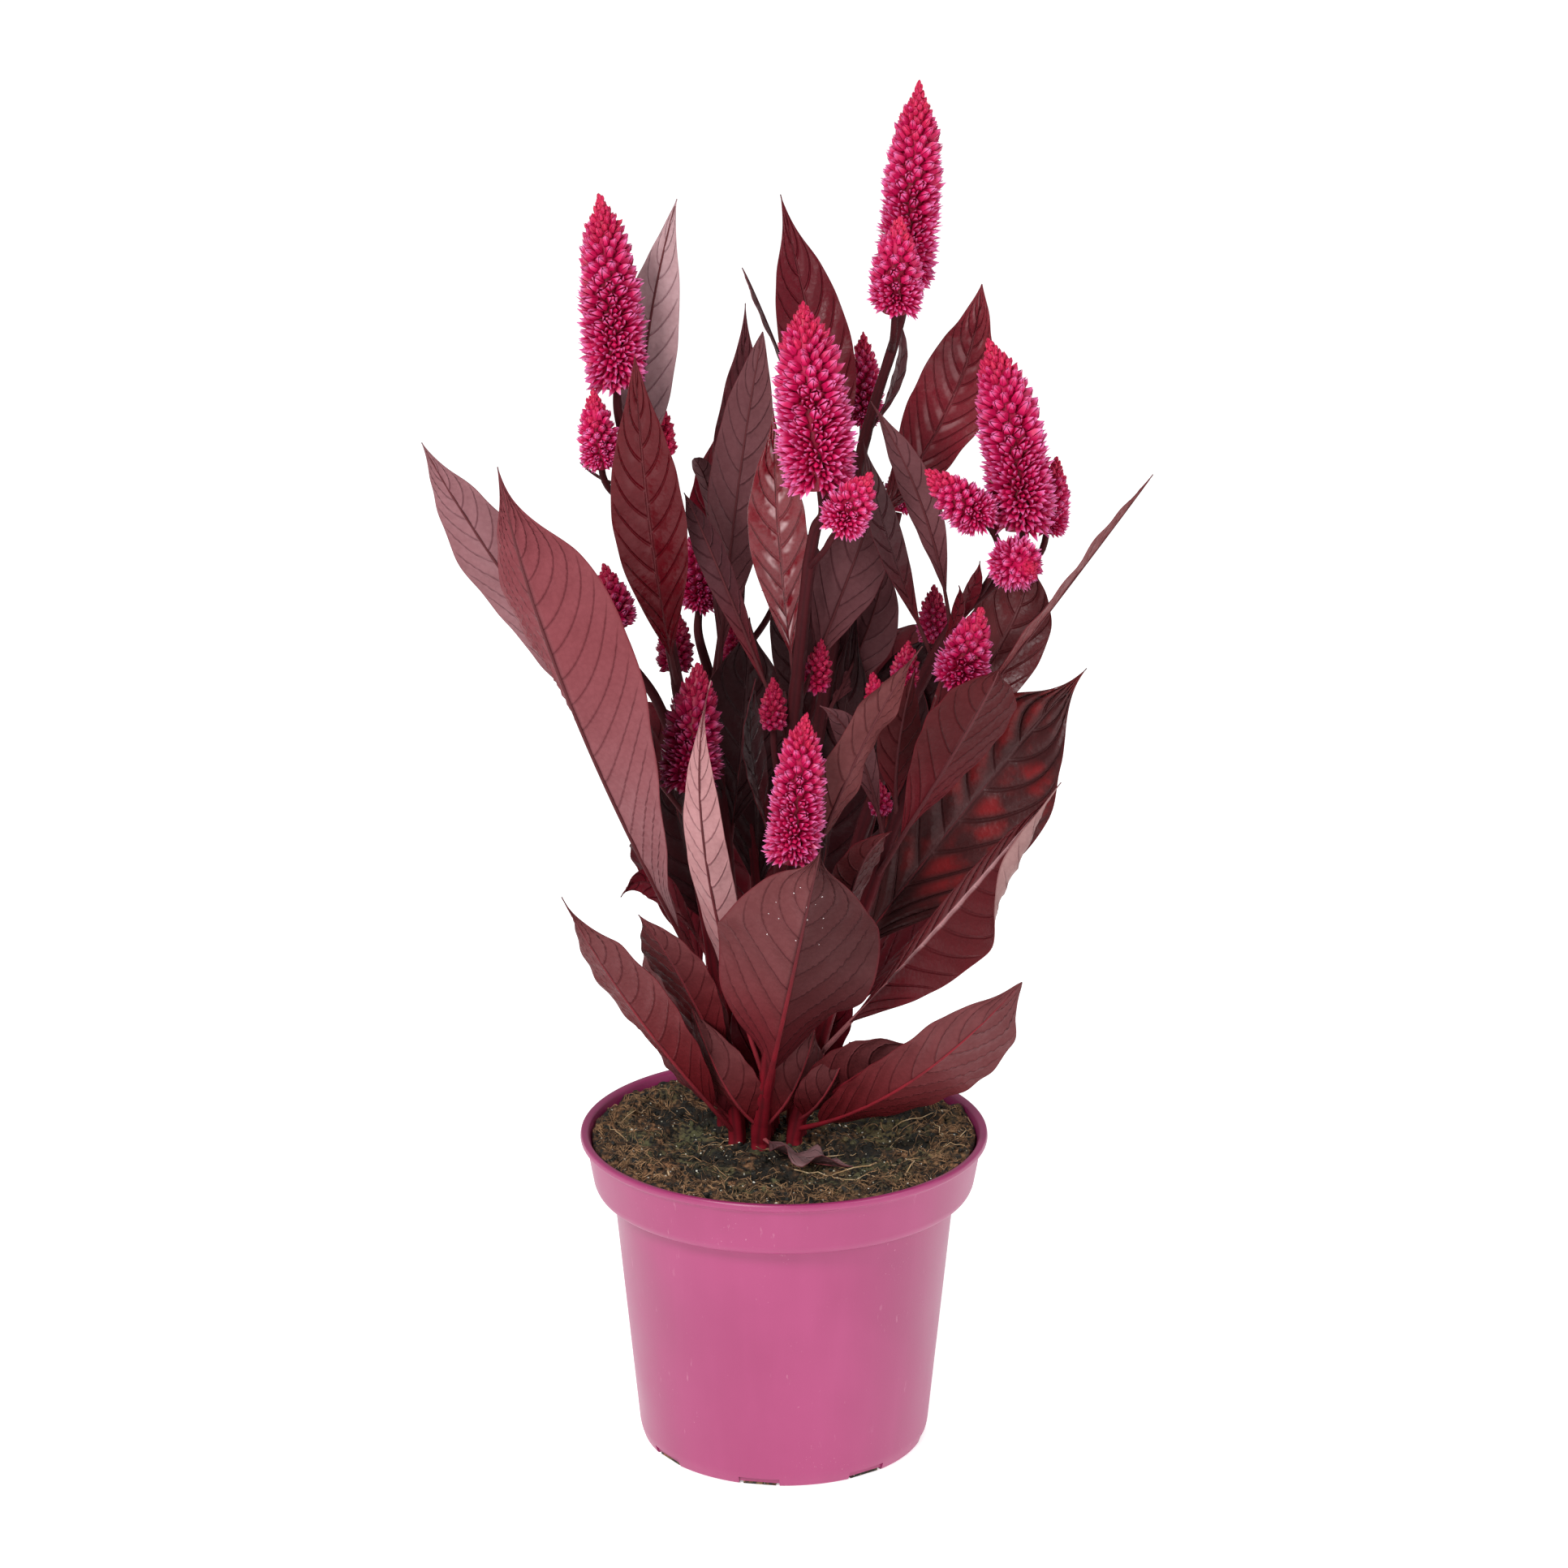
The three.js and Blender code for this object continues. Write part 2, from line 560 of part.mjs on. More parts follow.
/**
 * A flower spike: a core covered all over with florets, each a pointed pyramid on a diamond of the core's
 * surface. Neighbouring rows are turned by half a floret, so that the florets wind round the spike.
 */
function makeSpike({ base, tip, radius, around, rows, bend = [0, 0, 0] }) {
  const middle = vector(base).lerp(vector(tip), 0.5).add(vector(bend));
  const axis = new THREE.QuadraticBezierCurve3(vector(base), middle, vector(tip));
  const length = axis.getLength();
  const half = Math.PI / around;
  const onSpike = (u, distance, angle) => {
    const place = Math.min(Math.max(u, 0), 1);
    const direction = axis.getTangent(place);
    const centre = axis.getPoint(place).addScaledVector(direction, (u - place) * length);
    return ring(centre, direction, distance, 1, angle)[0];
  };

  const points = [];
  const start = [];
  for (let i = 0; i <= rows; i++) {
    const u = (i / rows) * SPIKE.full;
    const core = i === 0 ? SPIKE.seat : SPIKE.valley * radius * spikeOutline(u);
    start.push(points.length);
    for (let j = 0; j < around; j++) points.push(onSpike(u, core, (2 * j + (i % 2)) * half));
  }
  const corner = (i, j) => start[i] + ((j + around) % around);
  const triangles = [];
  for (let i = 1; i < rows; i++) {
    const u = (i / rows) * SPIKE.full;
    const lean = THREE.MathUtils.lerp(SPIKE.leanLow, SPIKE.leanHigh, Math.sqrt(u));
    for (let j = 0; j < around; j++) {
      const point = points.length;
      const reach = radius * spikeOutline(u) + SPIKE.point;
      points.push(onSpike(u + (lean * reach) / length, reach, (2 * j + (i % 2) + 1) * half));
      const shift = i % 2;
      const [low, high] = [corner(i - 1, j + shift), corner(i + 1, j + shift)];
      const [left, right] = [corner(i, j), corner(i, j + 1)];
      triangles.push([low, right, point], [right, high, point], [high, left, point], [left, low, point]);
    }
  }
  const bottom = points.push(vector(base)) - 1;
  const crown = points.push(vector(tip)) - 1;
  const turned = rows % 2;
  for (let j = 0; j < around; j++) {
    triangles.push([corner(0, j), corner(0, j + 1), corner(1, j)]);
    triangles.push([bottom, corner(0, j + 1), corner(0, j)]);
    triangles.push([corner(rows, j + 1), corner(rows, j), corner(rows - 1, j + turned)]);
    triangles.push([corner(rows, j), corner(rows, j + 1), crown]);
  }
  return meshOf(points, triangles);
}

// ---------------------------------------------------------------- the assembly

const material = (color, roughness) => new THREE.MeshStandardMaterial({ color, roughness, metalness: 0 });
const materials = {
  pot: material(COLOURS.pot, 0.45),
  peat: material(COLOURS.peat, 1),
  stem: material(COLOURS.stem, 0.5),
  spike: material(COLOURS.spike, 0.7),
};

const plant = new THREE.Group();

function addPiece(name, geometry, kind) {
  const mesh = new THREE.Mesh(geometry, materials[kind]);
  mesh.name = name;
  plant.add(mesh);
}

addPiece("pot", makePot(), "pot");
addPiece("peat", makePeat(), "peat");
for (const stem of STEMS) {
  addPiece(`stem_${stem.name}`, makeStem(stem), "stem");
  addPiece(`spike_${stem.name}`, makeSpike(stem.spike), "spike");
  stem.sides.forEach((side, i) => addPiece(`spike_${stem.name}_side_${i + 1}`, makeSpike(side), "spike"));
}

export default plant;
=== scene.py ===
"""The looks of a potted celosia: florets, veined leaves, ribbed stems, crumbled peat and a satin plastic pot.

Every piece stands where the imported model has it. The plant's plan is in millimetres, and each finished mesh
is in metres. Azimuths count from +X towards +Y.
"""

import json
import logging
import math
import random
from collections.abc import Callable, Iterable, Mapping, Sequence
from dataclasses import dataclass, field
from enum import Enum

import bmesh
import bpy
from mathutils import Matrix, Vector, noise

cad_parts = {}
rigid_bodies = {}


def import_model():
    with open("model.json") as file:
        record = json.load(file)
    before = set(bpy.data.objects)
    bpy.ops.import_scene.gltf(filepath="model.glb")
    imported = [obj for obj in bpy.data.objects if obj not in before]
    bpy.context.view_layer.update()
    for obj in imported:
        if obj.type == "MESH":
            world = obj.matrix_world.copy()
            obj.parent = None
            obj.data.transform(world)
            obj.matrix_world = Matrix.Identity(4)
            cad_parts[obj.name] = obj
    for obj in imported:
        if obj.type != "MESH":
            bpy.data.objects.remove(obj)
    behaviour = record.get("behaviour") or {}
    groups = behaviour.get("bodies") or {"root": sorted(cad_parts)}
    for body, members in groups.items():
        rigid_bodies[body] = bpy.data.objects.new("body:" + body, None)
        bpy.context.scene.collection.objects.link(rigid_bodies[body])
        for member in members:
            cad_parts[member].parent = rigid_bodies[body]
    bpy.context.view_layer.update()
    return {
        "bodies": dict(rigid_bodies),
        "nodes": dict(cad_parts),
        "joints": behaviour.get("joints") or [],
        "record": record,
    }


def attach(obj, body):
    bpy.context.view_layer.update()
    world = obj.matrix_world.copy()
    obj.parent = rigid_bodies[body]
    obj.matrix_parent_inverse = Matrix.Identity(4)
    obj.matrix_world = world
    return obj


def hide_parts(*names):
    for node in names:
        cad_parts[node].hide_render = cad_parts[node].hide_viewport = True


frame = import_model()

log = logging.getLogger("celosia")

MM = 0.001
GOLDEN_ANGLE = math.pi * (3 - math.sqrt(5))
Point = tuple[float, float, float]
Colour = tuple[float, float, float]


# ---------------------------------------------------------------- shader maths


class Wire:
    """A node's output, as a number in a Python expression: each operator adds its Math node."""

    def __init__(self, shader: "Shader", socket: bpy.types.NodeSocket) -> None:
        """Wraps one output socket of a material's tree."""
        self.shader = shader
        self.socket = socket

    def math(self, operation: str, *values: "Wire | float") -> "Wire":
        """Adds a Math node of that operation on these values."""
        return self.shader.node("ShaderNodeMath", {"operation": operation}, dict(enumerate(values)))

    def __add__(self, other: "Wire | float") -> "Wire":
        """This number plus another."""
        return self.math("ADD", self, other)

    def __radd__(self, other: float) -> "Wire":
        """A plain number plus this one."""
        return self.math("ADD", other, self)

    def __sub__(self, other: "Wire | float") -> "Wire":
        """This number less another."""
        return self.math("SUBTRACT", self, other)

    def __rsub__(self, other: float) -> "Wire":
        """A plain number less this one."""
        return self.math("SUBTRACT", other, self)

    def __mul__(self, other: "Wire | float") -> "Wire":
        """This number times another."""
        return self.math("MULTIPLY", self, other)

    def __rmul__(self, other: float) -> "Wire":
        """A plain number times this one."""
        return self.math("MULTIPLY", other, self)

    def __abs__(self) -> "Wire":
        """This number without its sign."""
        return self.math("ABSOLUTE", self)

    def above(self, limit: float) -> "Wire":
        """1 where this number is over a limit, and 0 elsewhere."""
        return self.math("GREATER_THAN", self, limit)

    def or_more(self, other: "Wire") -> "Wire":
        """The greater of this number and another."""
        return self.math("MAXIMUM", self, other)

    def fraction(self) -> "Wire":
        """What this number has past its whole part."""
        return self.math("FRACT", self)

    def to_whole(self) -> "Wire":
        """The distance from this number to the nearest whole one, from 0 to 0.5."""
        return abs((self + 0.5).fraction() - 0.5)

    def smooth(self, low: float, high: float, start: float = 0.0, end: float = 1.0) -> "Wire":
        """Eases from start to end while this number goes from low to high.

        Args:
            low: where the change begins.
            high: where the change ends.
            start: the value up to low.
            end: the value from high on.

        Returns:
            The eased number.
        """
        settings = {"interpolation_type": "SMOOTHSTEP"}
        return self.shader.node("ShaderNodeMapRange", settings, {0: self, 1: low, 2: high, 3: start, 4: end})


class Shader:
    """A material's node tree and its Principled surface."""

    def __init__(self, name: str) -> None:
        """Starts an empty material with one Principled surface.

        Args:
            name: the material's name.
        """
        self.material = bpy.data.materials.new(name)
        self.material.use_nodes = True
        self.tree = self.material.node_tree
        self.principled = self.tree.nodes["Principled BSDF"]

    def node(
        self,
        kind: str,
        settings: Mapping[str, object] | None = None,
        inputs: Mapping[str | int, object] | None = None,
        output: str | int = 0,
    ) -> Wire:
        """Adds any node.

        Args:
            kind: the node's type.
            settings: its properties, set first. A ramp's stops are given as "stops".
            inputs: values or wires for its sockets, by name or number.
            output: the output that is wanted, by name or number.

        Returns:
            That output.
        """
        made = self.tree.nodes.new(kind)
        for name, value in (settings or {}).items():
            if name == "stops":
                self._set_stops(made.color_ramp, value)
            else:
                setattr(made, name, value)
        for name, value in (inputs or {}).items():
            self.feed(made.inputs[name], value)
        return Wire(self, made.outputs[output])

    def feed(self, socket: bpy.types.NodeSocket, value: object) -> None:
        """Links a wire to a socket, or sets the socket's own value.

        Args:
            socket: the input socket.
            value: a wire, a number or a colour.
        """
        if isinstance(value, Wire):
            self.tree.links.new(value.socket, socket)
        elif isinstance(value, tuple) and socket.type == "RGBA":
            socket.default_value = (*value[:3], 1.0)
        else:
            socket.default_value = value

    @staticmethod
    def _set_stops(ramp: bpy.types.ColorRamp, stops: Sequence[tuple[float, Colour]]) -> None:
        """Gives a colour ramp its stops.

        Args:
            ramp: the ramp, which has two elements at first.
            stops: the place and the colour of each, in rising order.
        """
        while len(ramp.elements) < len(stops):
            ramp.elements.new(1.0)
        for element, (place, colour) in zip(ramp.elements, stops):
            element.position = place
            element.color = (*colour, 1.0)

    def mix(
        self,
        factor: Wire | float,
        first: Wire | Colour,
        second: Wire | Colour,
        blend: str = "MIX",
    ) -> Wire:
        """Mixes two colours.

        Args:
            factor: 0 gives the first colour and 1 the second.
            first: a colour or a wire.
            second: a colour or a wire.
            blend: the way that they mix.

        Returns:
            The mixed colour.
        """
        settings = {"data_type": "RGBA", "blend_type": blend, "clamp_factor": True}
        return self.node("ShaderNodeMix", settings, {0: factor, 6: first, 7: second}, 2)

    def ramp(self, factor: Wire, *stops: tuple[float, Colour]) -> Wire:
        """A colour that runs through stops as a number goes from 0 to 1."""
        return self.node("ShaderNodeValToRGB", {"stops": stops}, {"Fac": factor})

    def place(self, stretch: Point = (1, 1, 1)) -> Wire:
        """Reads the place on the object, in millimetres.

        Args:
            stretch: the factor of each direction.

        Returns:
            The place.
        """
        scale = tuple(s / MM for s in stretch)
        coordinates = self.node("ShaderNodeTexCoord", output="Object")
        return self.node("ShaderNodeVectorMath", {"operation": "MULTIPLY"}, {0: coordinates, 1: scale})

    def distance(self, stretch: Point = (1, 1, 1)) -> Wire:
        """The distance from the origin in millimetres, each direction stretched by its own factor."""
        return self.node("ShaderNodeVectorMath", {"operation": "LENGTH"}, {0: self.place(stretch)}, "Value")

    def height(self) -> Wire:
        """The height above the surface that the pot stands on, in millimetres."""
        return self.node("ShaderNodeSeparateXYZ", None, {0: self.place()}, 2)

    def noise(self, size: float, detail: float = 2.0, stretch: Point = (1, 1, 1)) -> Wire:
        """Soft noise from 0 to 1 with lumps of about that many millimetres."""
        inputs = {"Vector": self.place(stretch), "Scale": 1 / size, "Detail": detail}
        return self.node("ShaderNodeTexNoise", None, inputs)

    def cells(self, size: float) -> Wire:
        """The distance to the middle of the nearest cell, for cells of about that many millimetres."""
        inputs = {"Vector": self.place(), "Scale": 1 / size}
        return self.node("ShaderNodeTexVoronoi", None, inputs, "Distance")

    def attribute(self, name: str) -> tuple[Wire, Wire, Wire]:
        """The three numbers of a mesh's own vector attribute."""
        whole = self.node("ShaderNodeAttribute", {"attribute_name": name}, output="Vector")
        return tuple(self.node("ShaderNodeSeparateXYZ", None, {0: whole}, i) for i in range(3))

    def bump(self, height: Wire, distance: float, strength: float) -> Wire:
        """A normal that is tilted by a height of that many millimetres."""
        inputs = {"Strength": strength, "Distance": distance * MM, "Height": height}
        return self.node("ShaderNodeBump", None, inputs)

    def surface(self, **sockets: object) -> None:
        """Feeds the Principled surface, with each underscore in a socket's name read as a space."""
        for name, value in sockets.items():
            self.feed(self.principled.inputs[name.replace("_", " ")], value)


# ---------------------------------------------------------------- finishes


@dataclass(frozen=True)
class Finish:
    """A surface finish. Its material is made once and shared."""

    name: str

    def material(self) -> bpy.types.Material:
        """Finds the finish's material, or makes it.

        Returns:
            The material.
        """
        found = bpy.data.materials.get(self.name)
        if found:
            return found
        shader = Shader(self.name)
        self.paint(shader)
        return shader.material

    def paint(self, shader: Shader) -> None:
        """Lays the finish's nodes."""
        raise NotImplementedError


@dataclass(frozen=True)
class PotPlastic(Finish):
    """Satin moulded plastic with faint flow marks, dust and scuffs."""

    name: str = "pot_plastic"
    colour: Colour = (0.300, 0.024, 0.116)
    faded: Colour = (0.345, 0.036, 0.142)
    scuff: Colour = (0.58, 0.26, 0.36)

    def paint(self, shader: Shader) -> None:
        """Clouds the colour, and lays scuffs and a fine grain over it.

        Args:
            shader: the material's node tree.
        """
        clouds = shader.noise(38, 3)
        flow = shader.noise(9, 3, (1, 1, 0.12))
        paleness = clouds.smooth(0.35, 0.7, 0, 0.7) + flow.smooth(0.4, 0.75, 0, 0.3)
        body = shader.mix(paleness, self.colour, self.faded)
        specks = shader.noise(0.7, 2).smooth(0.70, 0.76) * shader.noise(16, 2).smooth(0.5, 0.66)
        streaks = shader.noise(1.6, 3, (1, 1, 0.25)).smooth(0.66, 0.74)
        strokes = streaks * shader.noise(22, 2).smooth(0.52, 0.66)
        worn = specks * 0.6 + strokes * 0.3
        grain = shader.noise(0.35, 2)
        shader.surface(
            Base_Color=shader.mix(worn, body, self.scuff),
            Roughness=clouds.smooth(0.3, 0.7, 0.34, 0.44) + worn * 0.2,
            Normal=shader.bump(grain + flow * 0.8, 0.04, 0.5),
            Specular_IOR_Level=0.6,
        )


@dataclass(frozen=True)
class PeatMix(Finish):
    """Damp peat: dark crumbs, orange-brown fibre and a greenish bloom."""

    name: str = "peat_mix"
    dark: Colour = (0.010, 0.010, 0.008)
    brown: Colour = (0.095, 0.047, 0.022)
    rust: Colour = (0.31, 0.155, 0.075)
    green: Colour = (0.125, 0.120, 0.055)
    pale: Colour = (0.52, 0.46, 0.32)

    def paint(self, shader: Shader) -> None:
        """Mixes patches and crumbs, redder towards the rim, with a few pale grains.

        Args:
            shader: the material's node tree.
        """
        patches = shader.noise(15, 3)
        crumbs = shader.noise(1.7, 5)
        fine = shader.noise(0.6, 4)
        rim = shader.distance((1, 1, 0))
        soil = shader.ramp(crumbs, (0.42, self.dark), (0.53, self.brown), (0.65, self.rust))
        # darker patches, fewer towards the rim
        dark_patched = shader.mix(patches.smooth(0.38, 0.55, 0, 0.92) * rim.smooth(42, 55, 1, 0.3), soil, self.dark)
        bloom = shader.noise(11, 3).smooth(0.48, 0.62) * crumbs.smooth(0.40, 0.60)
        mossy = shader.mix(bloom * rim.smooth(42, 54, 1, 0.2) * 0.8, dark_patched, self.green)
        grains = fine.smooth(0.66, 0.72, 0, 0.9) * shader.noise(7, 2).smooth(0.42, 0.58)
        shader.surface(
            Base_Color=shader.mix(grains, mossy, self.pale),
            Roughness=crumbs.smooth(0.3, 0.6, 0.42, 0.95),
            Normal=shader.bump(crumbs + fine * 0.5, 0.9, 0.9),
            Specular_IOR_Level=0.35,
        )


@dataclass(frozen=True)
class Strands(Finish):
    """Dry fibres and roots, each patch in its own shade."""

    name: str
    dark: Colour
    light: Colour
    shine: float = 0.7

    def paint(self, shader: Shader) -> None:
        """Varies the shade from strand to strand and along each.

        Args:
            shader: the material's node tree.
        """
        shade = shader.noise(3.0, 2).smooth(0.35, 0.65)
        shader.surface(
            Base_Color=shader.mix(shade, self.dark, self.light),
            Roughness=shader.noise(0.8).smooth(0.3, 0.7, self.shine, 0.95),
        )


@dataclass(frozen=True)
class StemSkin(Finish):
    """Ridged stem and leaf ribs: bright crimson low on the plant, dark wine higher up, paler on some ribs."""

    name: str = "stem_skin"
    crimson: Colour = (0.205, 0.007, 0.016)
    wine: Colour = (0.055, 0.007, 0.010)
    pale: Colour = (0.48, 0.17, 0.18)
    # the colour of the painted shade in the grooves
    painted_groove_shade: Colour = (0.03, 0.006, 0.008)

    def paint(self, shader: Shader) -> None:
        """Grades the colour by height, and darkens the grooves between the ridges with painted shade.

        Args:
            shader: the material's node tree.
        """
        ridge, rib, _ = shader.attribute("skin")
        base = shader.mix(shader.height().smooth(115, 200), self.crimson, self.wine)
        mottled = shader.mix(shader.noise(6, 3, (1, 1, 0.3)).smooth(0.4, 0.7, 0, 0.45), base, self.wine)
        # painted shade: darker in the grooves between the ridges
        groove_shaded = shader.mix(ridge.smooth(-1.0, 0.2, 0.5, 0.0), mottled, self.painted_groove_shade)
        shader.surface(
            Base_Color=shader.mix(rib, groove_shaded, self.pale),
            Roughness=shader.noise(2.5).smooth(0.3, 0.7, 0.6, 0.8),
            Normal=shader.bump(shader.noise(0.5, 2, (1, 1, 0.15)), 0.06, 0.6),
            Specular_IOR_Level=0.12,
        )


@dataclass(frozen=True)
class LeafSkin(Finish):
    """One side of a blade: side veins that arch to the margin, a net between them, and painted highlights.

    Args:
        tint: the attribute that holds this side's colour.
        shade: how far the colour darkens along the veins.
        roughness: how matte it is.
        sunken: how far the veins lie sunk, or how far they stand out where it is below 0.
        shine: how strongly it reflects.
        crimson: the colour of its margin.
        scarlet: the colour of the cells of a blotched leaf.
        pale: the colour of a pale midrib.
        glint: the colour of the painted highlight streaks on a glossy leaf.
        vein: what the colour is multiplied by on a vein.
        cloud: what it is multiplied by in the darker patches.
    """

    name: str
    tint: str
    shade: float
    roughness: float
    sunken: float
    shine: float
    crimson: Colour = (0.115, 0.006, 0.012)
    scarlet: Colour = (0.27, 0.010, 0.013)
    pale: Colour = (0.46, 0.24, 0.25)
    # the colour of the painted highlight streaks
    glint: Colour = (0.66, 0.46, 0.47)
    vein: Colour = (0.36, 0.16, 0.22)
    cloud: Colour = (0.62, 0.50, 0.50)

    def paint(self, shader: Shader) -> None:
        """Draws the veins and the painted highlights from the blade's own attributes, on each leaf's own
        tint.

        Args:
            shader: the material's node tree.
        """
        phase, across, along = shader.attribute("blade")
        pale_rib, blotched, gloss = shader.attribute("look")
        tint = shader.node("ShaderNodeAttribute", {"attribute_name": self.tint}, output="Color")
        out = abs(across)
        turn = phase + across.above(0.0) * 0.5
        gap = turn.to_whole()
        side_vein = gap.smooth(0.0, 0.045, 1, 0) * out.smooth(0.80, 1.0, 1, 0)
        rib = out.smooth(0.01, 0.06, 1, 0)
        net = shader.cells(1.5).smooth(0.30, 0.75)
        mottle = shader.noise(11, 4).smooth(0.3, 0.72)
        fine = shader.noise(0.8, 3)
        clouded = shader.mix(mottle * 0.28, tint, self.cloud, "MULTIPLY")
        cell = gap.smooth(0.0, 0.36) * out.smooth(0.0, 0.25) * shader.noise(13, 5).smooth(0.42, 0.66)
        blotchy = shader.mix(blotched * cell * along.smooth(0.1, 0.4) * 0.7, clouded, self.scarlet)
        veined = shader.mix(side_vein * self.shade + net * 0.10, blotchy, self.vein, "MULTIPLY")
        ribbed = shader.mix(rib * self.shade, veined, self.vein, "MULTIPLY")
        # painted highlight: pale streaks on the upper slope of each cell between side veins, only on glossy
        # leaves
        crest = turn.fraction().smooth(0.40, 0.66) * gap.smooth(0.04, 0.14)
        inner = out.smooth(0.03, 0.14) * out.smooth(0.35, 0.75, 1, 0)
        painted_highlight_mask = crest * inner * shader.noise(7, 3).smooth(0.42, 0.64)
        painted_highlights = shader.mix(painted_highlight_mask * gloss.smooth(0.45, 1.0, 0.0, 0.62), ribbed, self.glint)
        whole = shader.mix(out.smooth(0.03, 0.09, 1, 0) * pale_rib, painted_highlights, self.pale)
        ridge = gap.smooth(0.0, 0.10, 1, 0) * out.smooth(0.80, 1.0, 1, 0)
        relief = (1 - ridge.or_more(rib)) * self.sunken + net * 0.10 + fine * 0.10
        shader.surface(
            Base_Color=shader.mix(out.smooth(0.965, 1.0, 0, 0.5), whole, self.crimson),
            Roughness=self.roughness + (mottle - 0.5) * 0.14 + net * 0.08 - gloss * 0.16,
            Normal=shader.bump(relief, 0.5, 0.9),
            Coat_Weight=gloss.smooth(0.45, 1.0, 0.0, 0.5) * fine.smooth(0.3, 0.6, 0.7, 1.0),
            Coat_Roughness=0.22,
            Specular_IOR_Level=self.shine,
        )


@dataclass(frozen=True)
class FloretSkin(Finish):
    """Papery tepals: crimson at the root, then magenta, silvery pink where open and scarlet when young."""

    name: str = "floret_skin"
    throat: Colour = (0.22, 0.001, 0.020)
    magenta: Colour = (0.57, 0.008, 0.098)
    bright: Colour = (0.82, 0.215, 0.520)
    scarlet: Colour = (0.61, 0.020, 0.076)
    shaded: Colour = (0.36, 0.003, 0.045)
    # the colour that painted shade darkens a shaded spike towards
    painted_shade: Colour = (0.15, 0.0, 0.016)

    def paint(self, shader: Shader) -> None:
        """Grades each tepal from its root to its tip, and the spike from its open base to its young tip.

        Args:
            shader: the material's node tree.
        """
        reach, age, depth = shader.attribute("floret")
        petal = shader.mix(reach.smooth(0.6, 1.0) * age.smooth(0.45, 0.95, 1, 0.3), self.magenta, self.bright)
        young = shader.mix(age.smooth(0.72, 0.97, 0, 0.9), petal, self.scarlet)
        varied = shader.mix(shader.noise(5, 2).smooth(0.3, 0.7, 0, 0.35), young, self.shaded)
        # painted shade: the third channel of the floret attribute darkens spikes that lie in shade
        inner = shader.mix(depth, varied, self.painted_shade)
        shader.surface(
            Base_Color=shader.mix(reach.smooth(0.0, 0.45, 1, 0), inner, self.throat),
            Roughness=age.smooth(0.2, 0.9, 0.36, 0.46),
            Specular_IOR_Level=0.25,
        )


@dataclass(frozen=True)
class WaterDrop(Finish):
    """A bead of water that catches the light, pale in colour as a painted glint."""

    name: str = "water_drop"
    # painted highlight: pale colours stand in for the glint of clear water
    hazy: Colour = (0.55, 0.42, 0.43)
    clear: Colour = (0.85, 0.78, 0.78)

    def paint(self, shader: Shader) -> None:
        """Keeps it smooth, and bright in colour as a painted glint, with a little haze.

        Args:
            shader: the material's node tree.
        """
        shader.surface(
            Base_Color=shader.mix(shader.noise(0.4), self.hazy, self.clear),
            Roughness=0.06,
            Coat_Weight=0.6,
        )


POT_PLASTIC = PotPlastic()
PEAT_MIX = PeatMix()
PEAT_FIBRE = Strands("peat_fibre", (0.060, 0.030, 0.015), (0.38, 0.215, 0.105))
PALE_ROOT = Strands("pale_root", (0.42, 0.26, 0.12), (0.68, 0.50, 0.30), 0.5)
PALE_GRAIN = Strands("pale_grain", (0.50, 0.46, 0.34), (0.80, 0.78, 0.68), 0.6)
STEM_SKIN = StemSkin()
LEAF_UPPER = LeafSkin("leaf_upper", "upper_tint", 0.06, 0.40, 1.0, 0.22)
LEAF_UNDER = LeafSkin("leaf_under", "under_tint", 0.70, 0.54, -0.6, 0.09)
FLORET_SKIN = FloretSkin()
WATER_DROP = WaterDrop()
PLANT_FINISHES = (STEM_SKIN, LEAF_UPPER, LEAF_UNDER, WATER_DROP)
BLADE_LAYERS = ("blade", "upper_tint", "under_tint", "look")


# ---------------------------------------------------------------- curves and meshes


def bezier(start: Vector, control: Vector, end: Vector, t: float) -> Vector:
    """The point of a quadratic arc at a share t of it."""
    return start * (1 - t) ** 2 + control * (2 * t * (1 - t)) + end * t**2


def bezier_slope(start: Vector, control: Vector, end: Vector, t: float) -> Vector:
    """The unit direction of a quadratic arc at a share t of it."""
    return ((control - start) * (1 - t) + (end - control) * t).normalized()


def smoothstep(low: float, high: float, value: float) -> float:
    """Eases from 0 to 1 while a value goes from low to high."""
    t = min(max((value - low) / (high - low), 0.0), 1.0)
    return t * t * (3 - 2 * t)


def interpolate(table: Sequence[tuple[float, float]], at: float) -> float:
    """Reads a table of places and values, on straight lines between its rows.

    Args:
        table: its rows, in the order of their places.
        at: the place.

    Returns:
        The value there.
    """
    for (low, first), (high, second) in zip(table, table[1:]):
        if at <= high:
            return lerp(first, second, (at - low) / (high - low))
    return table[-1][1]


def lerp(first: float, second: float, t: float) -> float:
    """The number that lies a share t of the way from the first to the second."""
    return first + (second - first) * t


def through(stations: Sequence[Vector], steps: int) -> list[Vector]:
    """A smooth curve through stations, as a centripetal spline.

    Args:
        stations: the points that it passes.
        steps: points for each stretch between two stations.

    Returns:
        The curve's points.
    """
    ends = [2 * stations[0] - stations[1], *stations, 2 * stations[-1] - stations[-2]]
    points = []
    for before, start, end, after in zip(ends, ends[1:], ends[2:], ends[3:]):
        pairs = ((before, start), (start, end), (end, after))
        first, span, last = (max(math.sqrt((b - a).length), 1e-4) for a, b in pairs)
        leave = (start - before) / first - (end - before) / (first + span) + (end - start) / span
        arrive = (end - start) / span - (after - start) / (span + last) + (after - end) / last
        leave, arrive = leave * span, arrive * span
        for step in range(steps):
            t = step / steps
            cubic = (2 * start - 2 * end + leave + arrive) * t**3
            points.append(cubic + (3 * end - 3 * start - 2 * leave - arrive) * t**2 + leave * t + start)
    return [*points, stations[-1]]


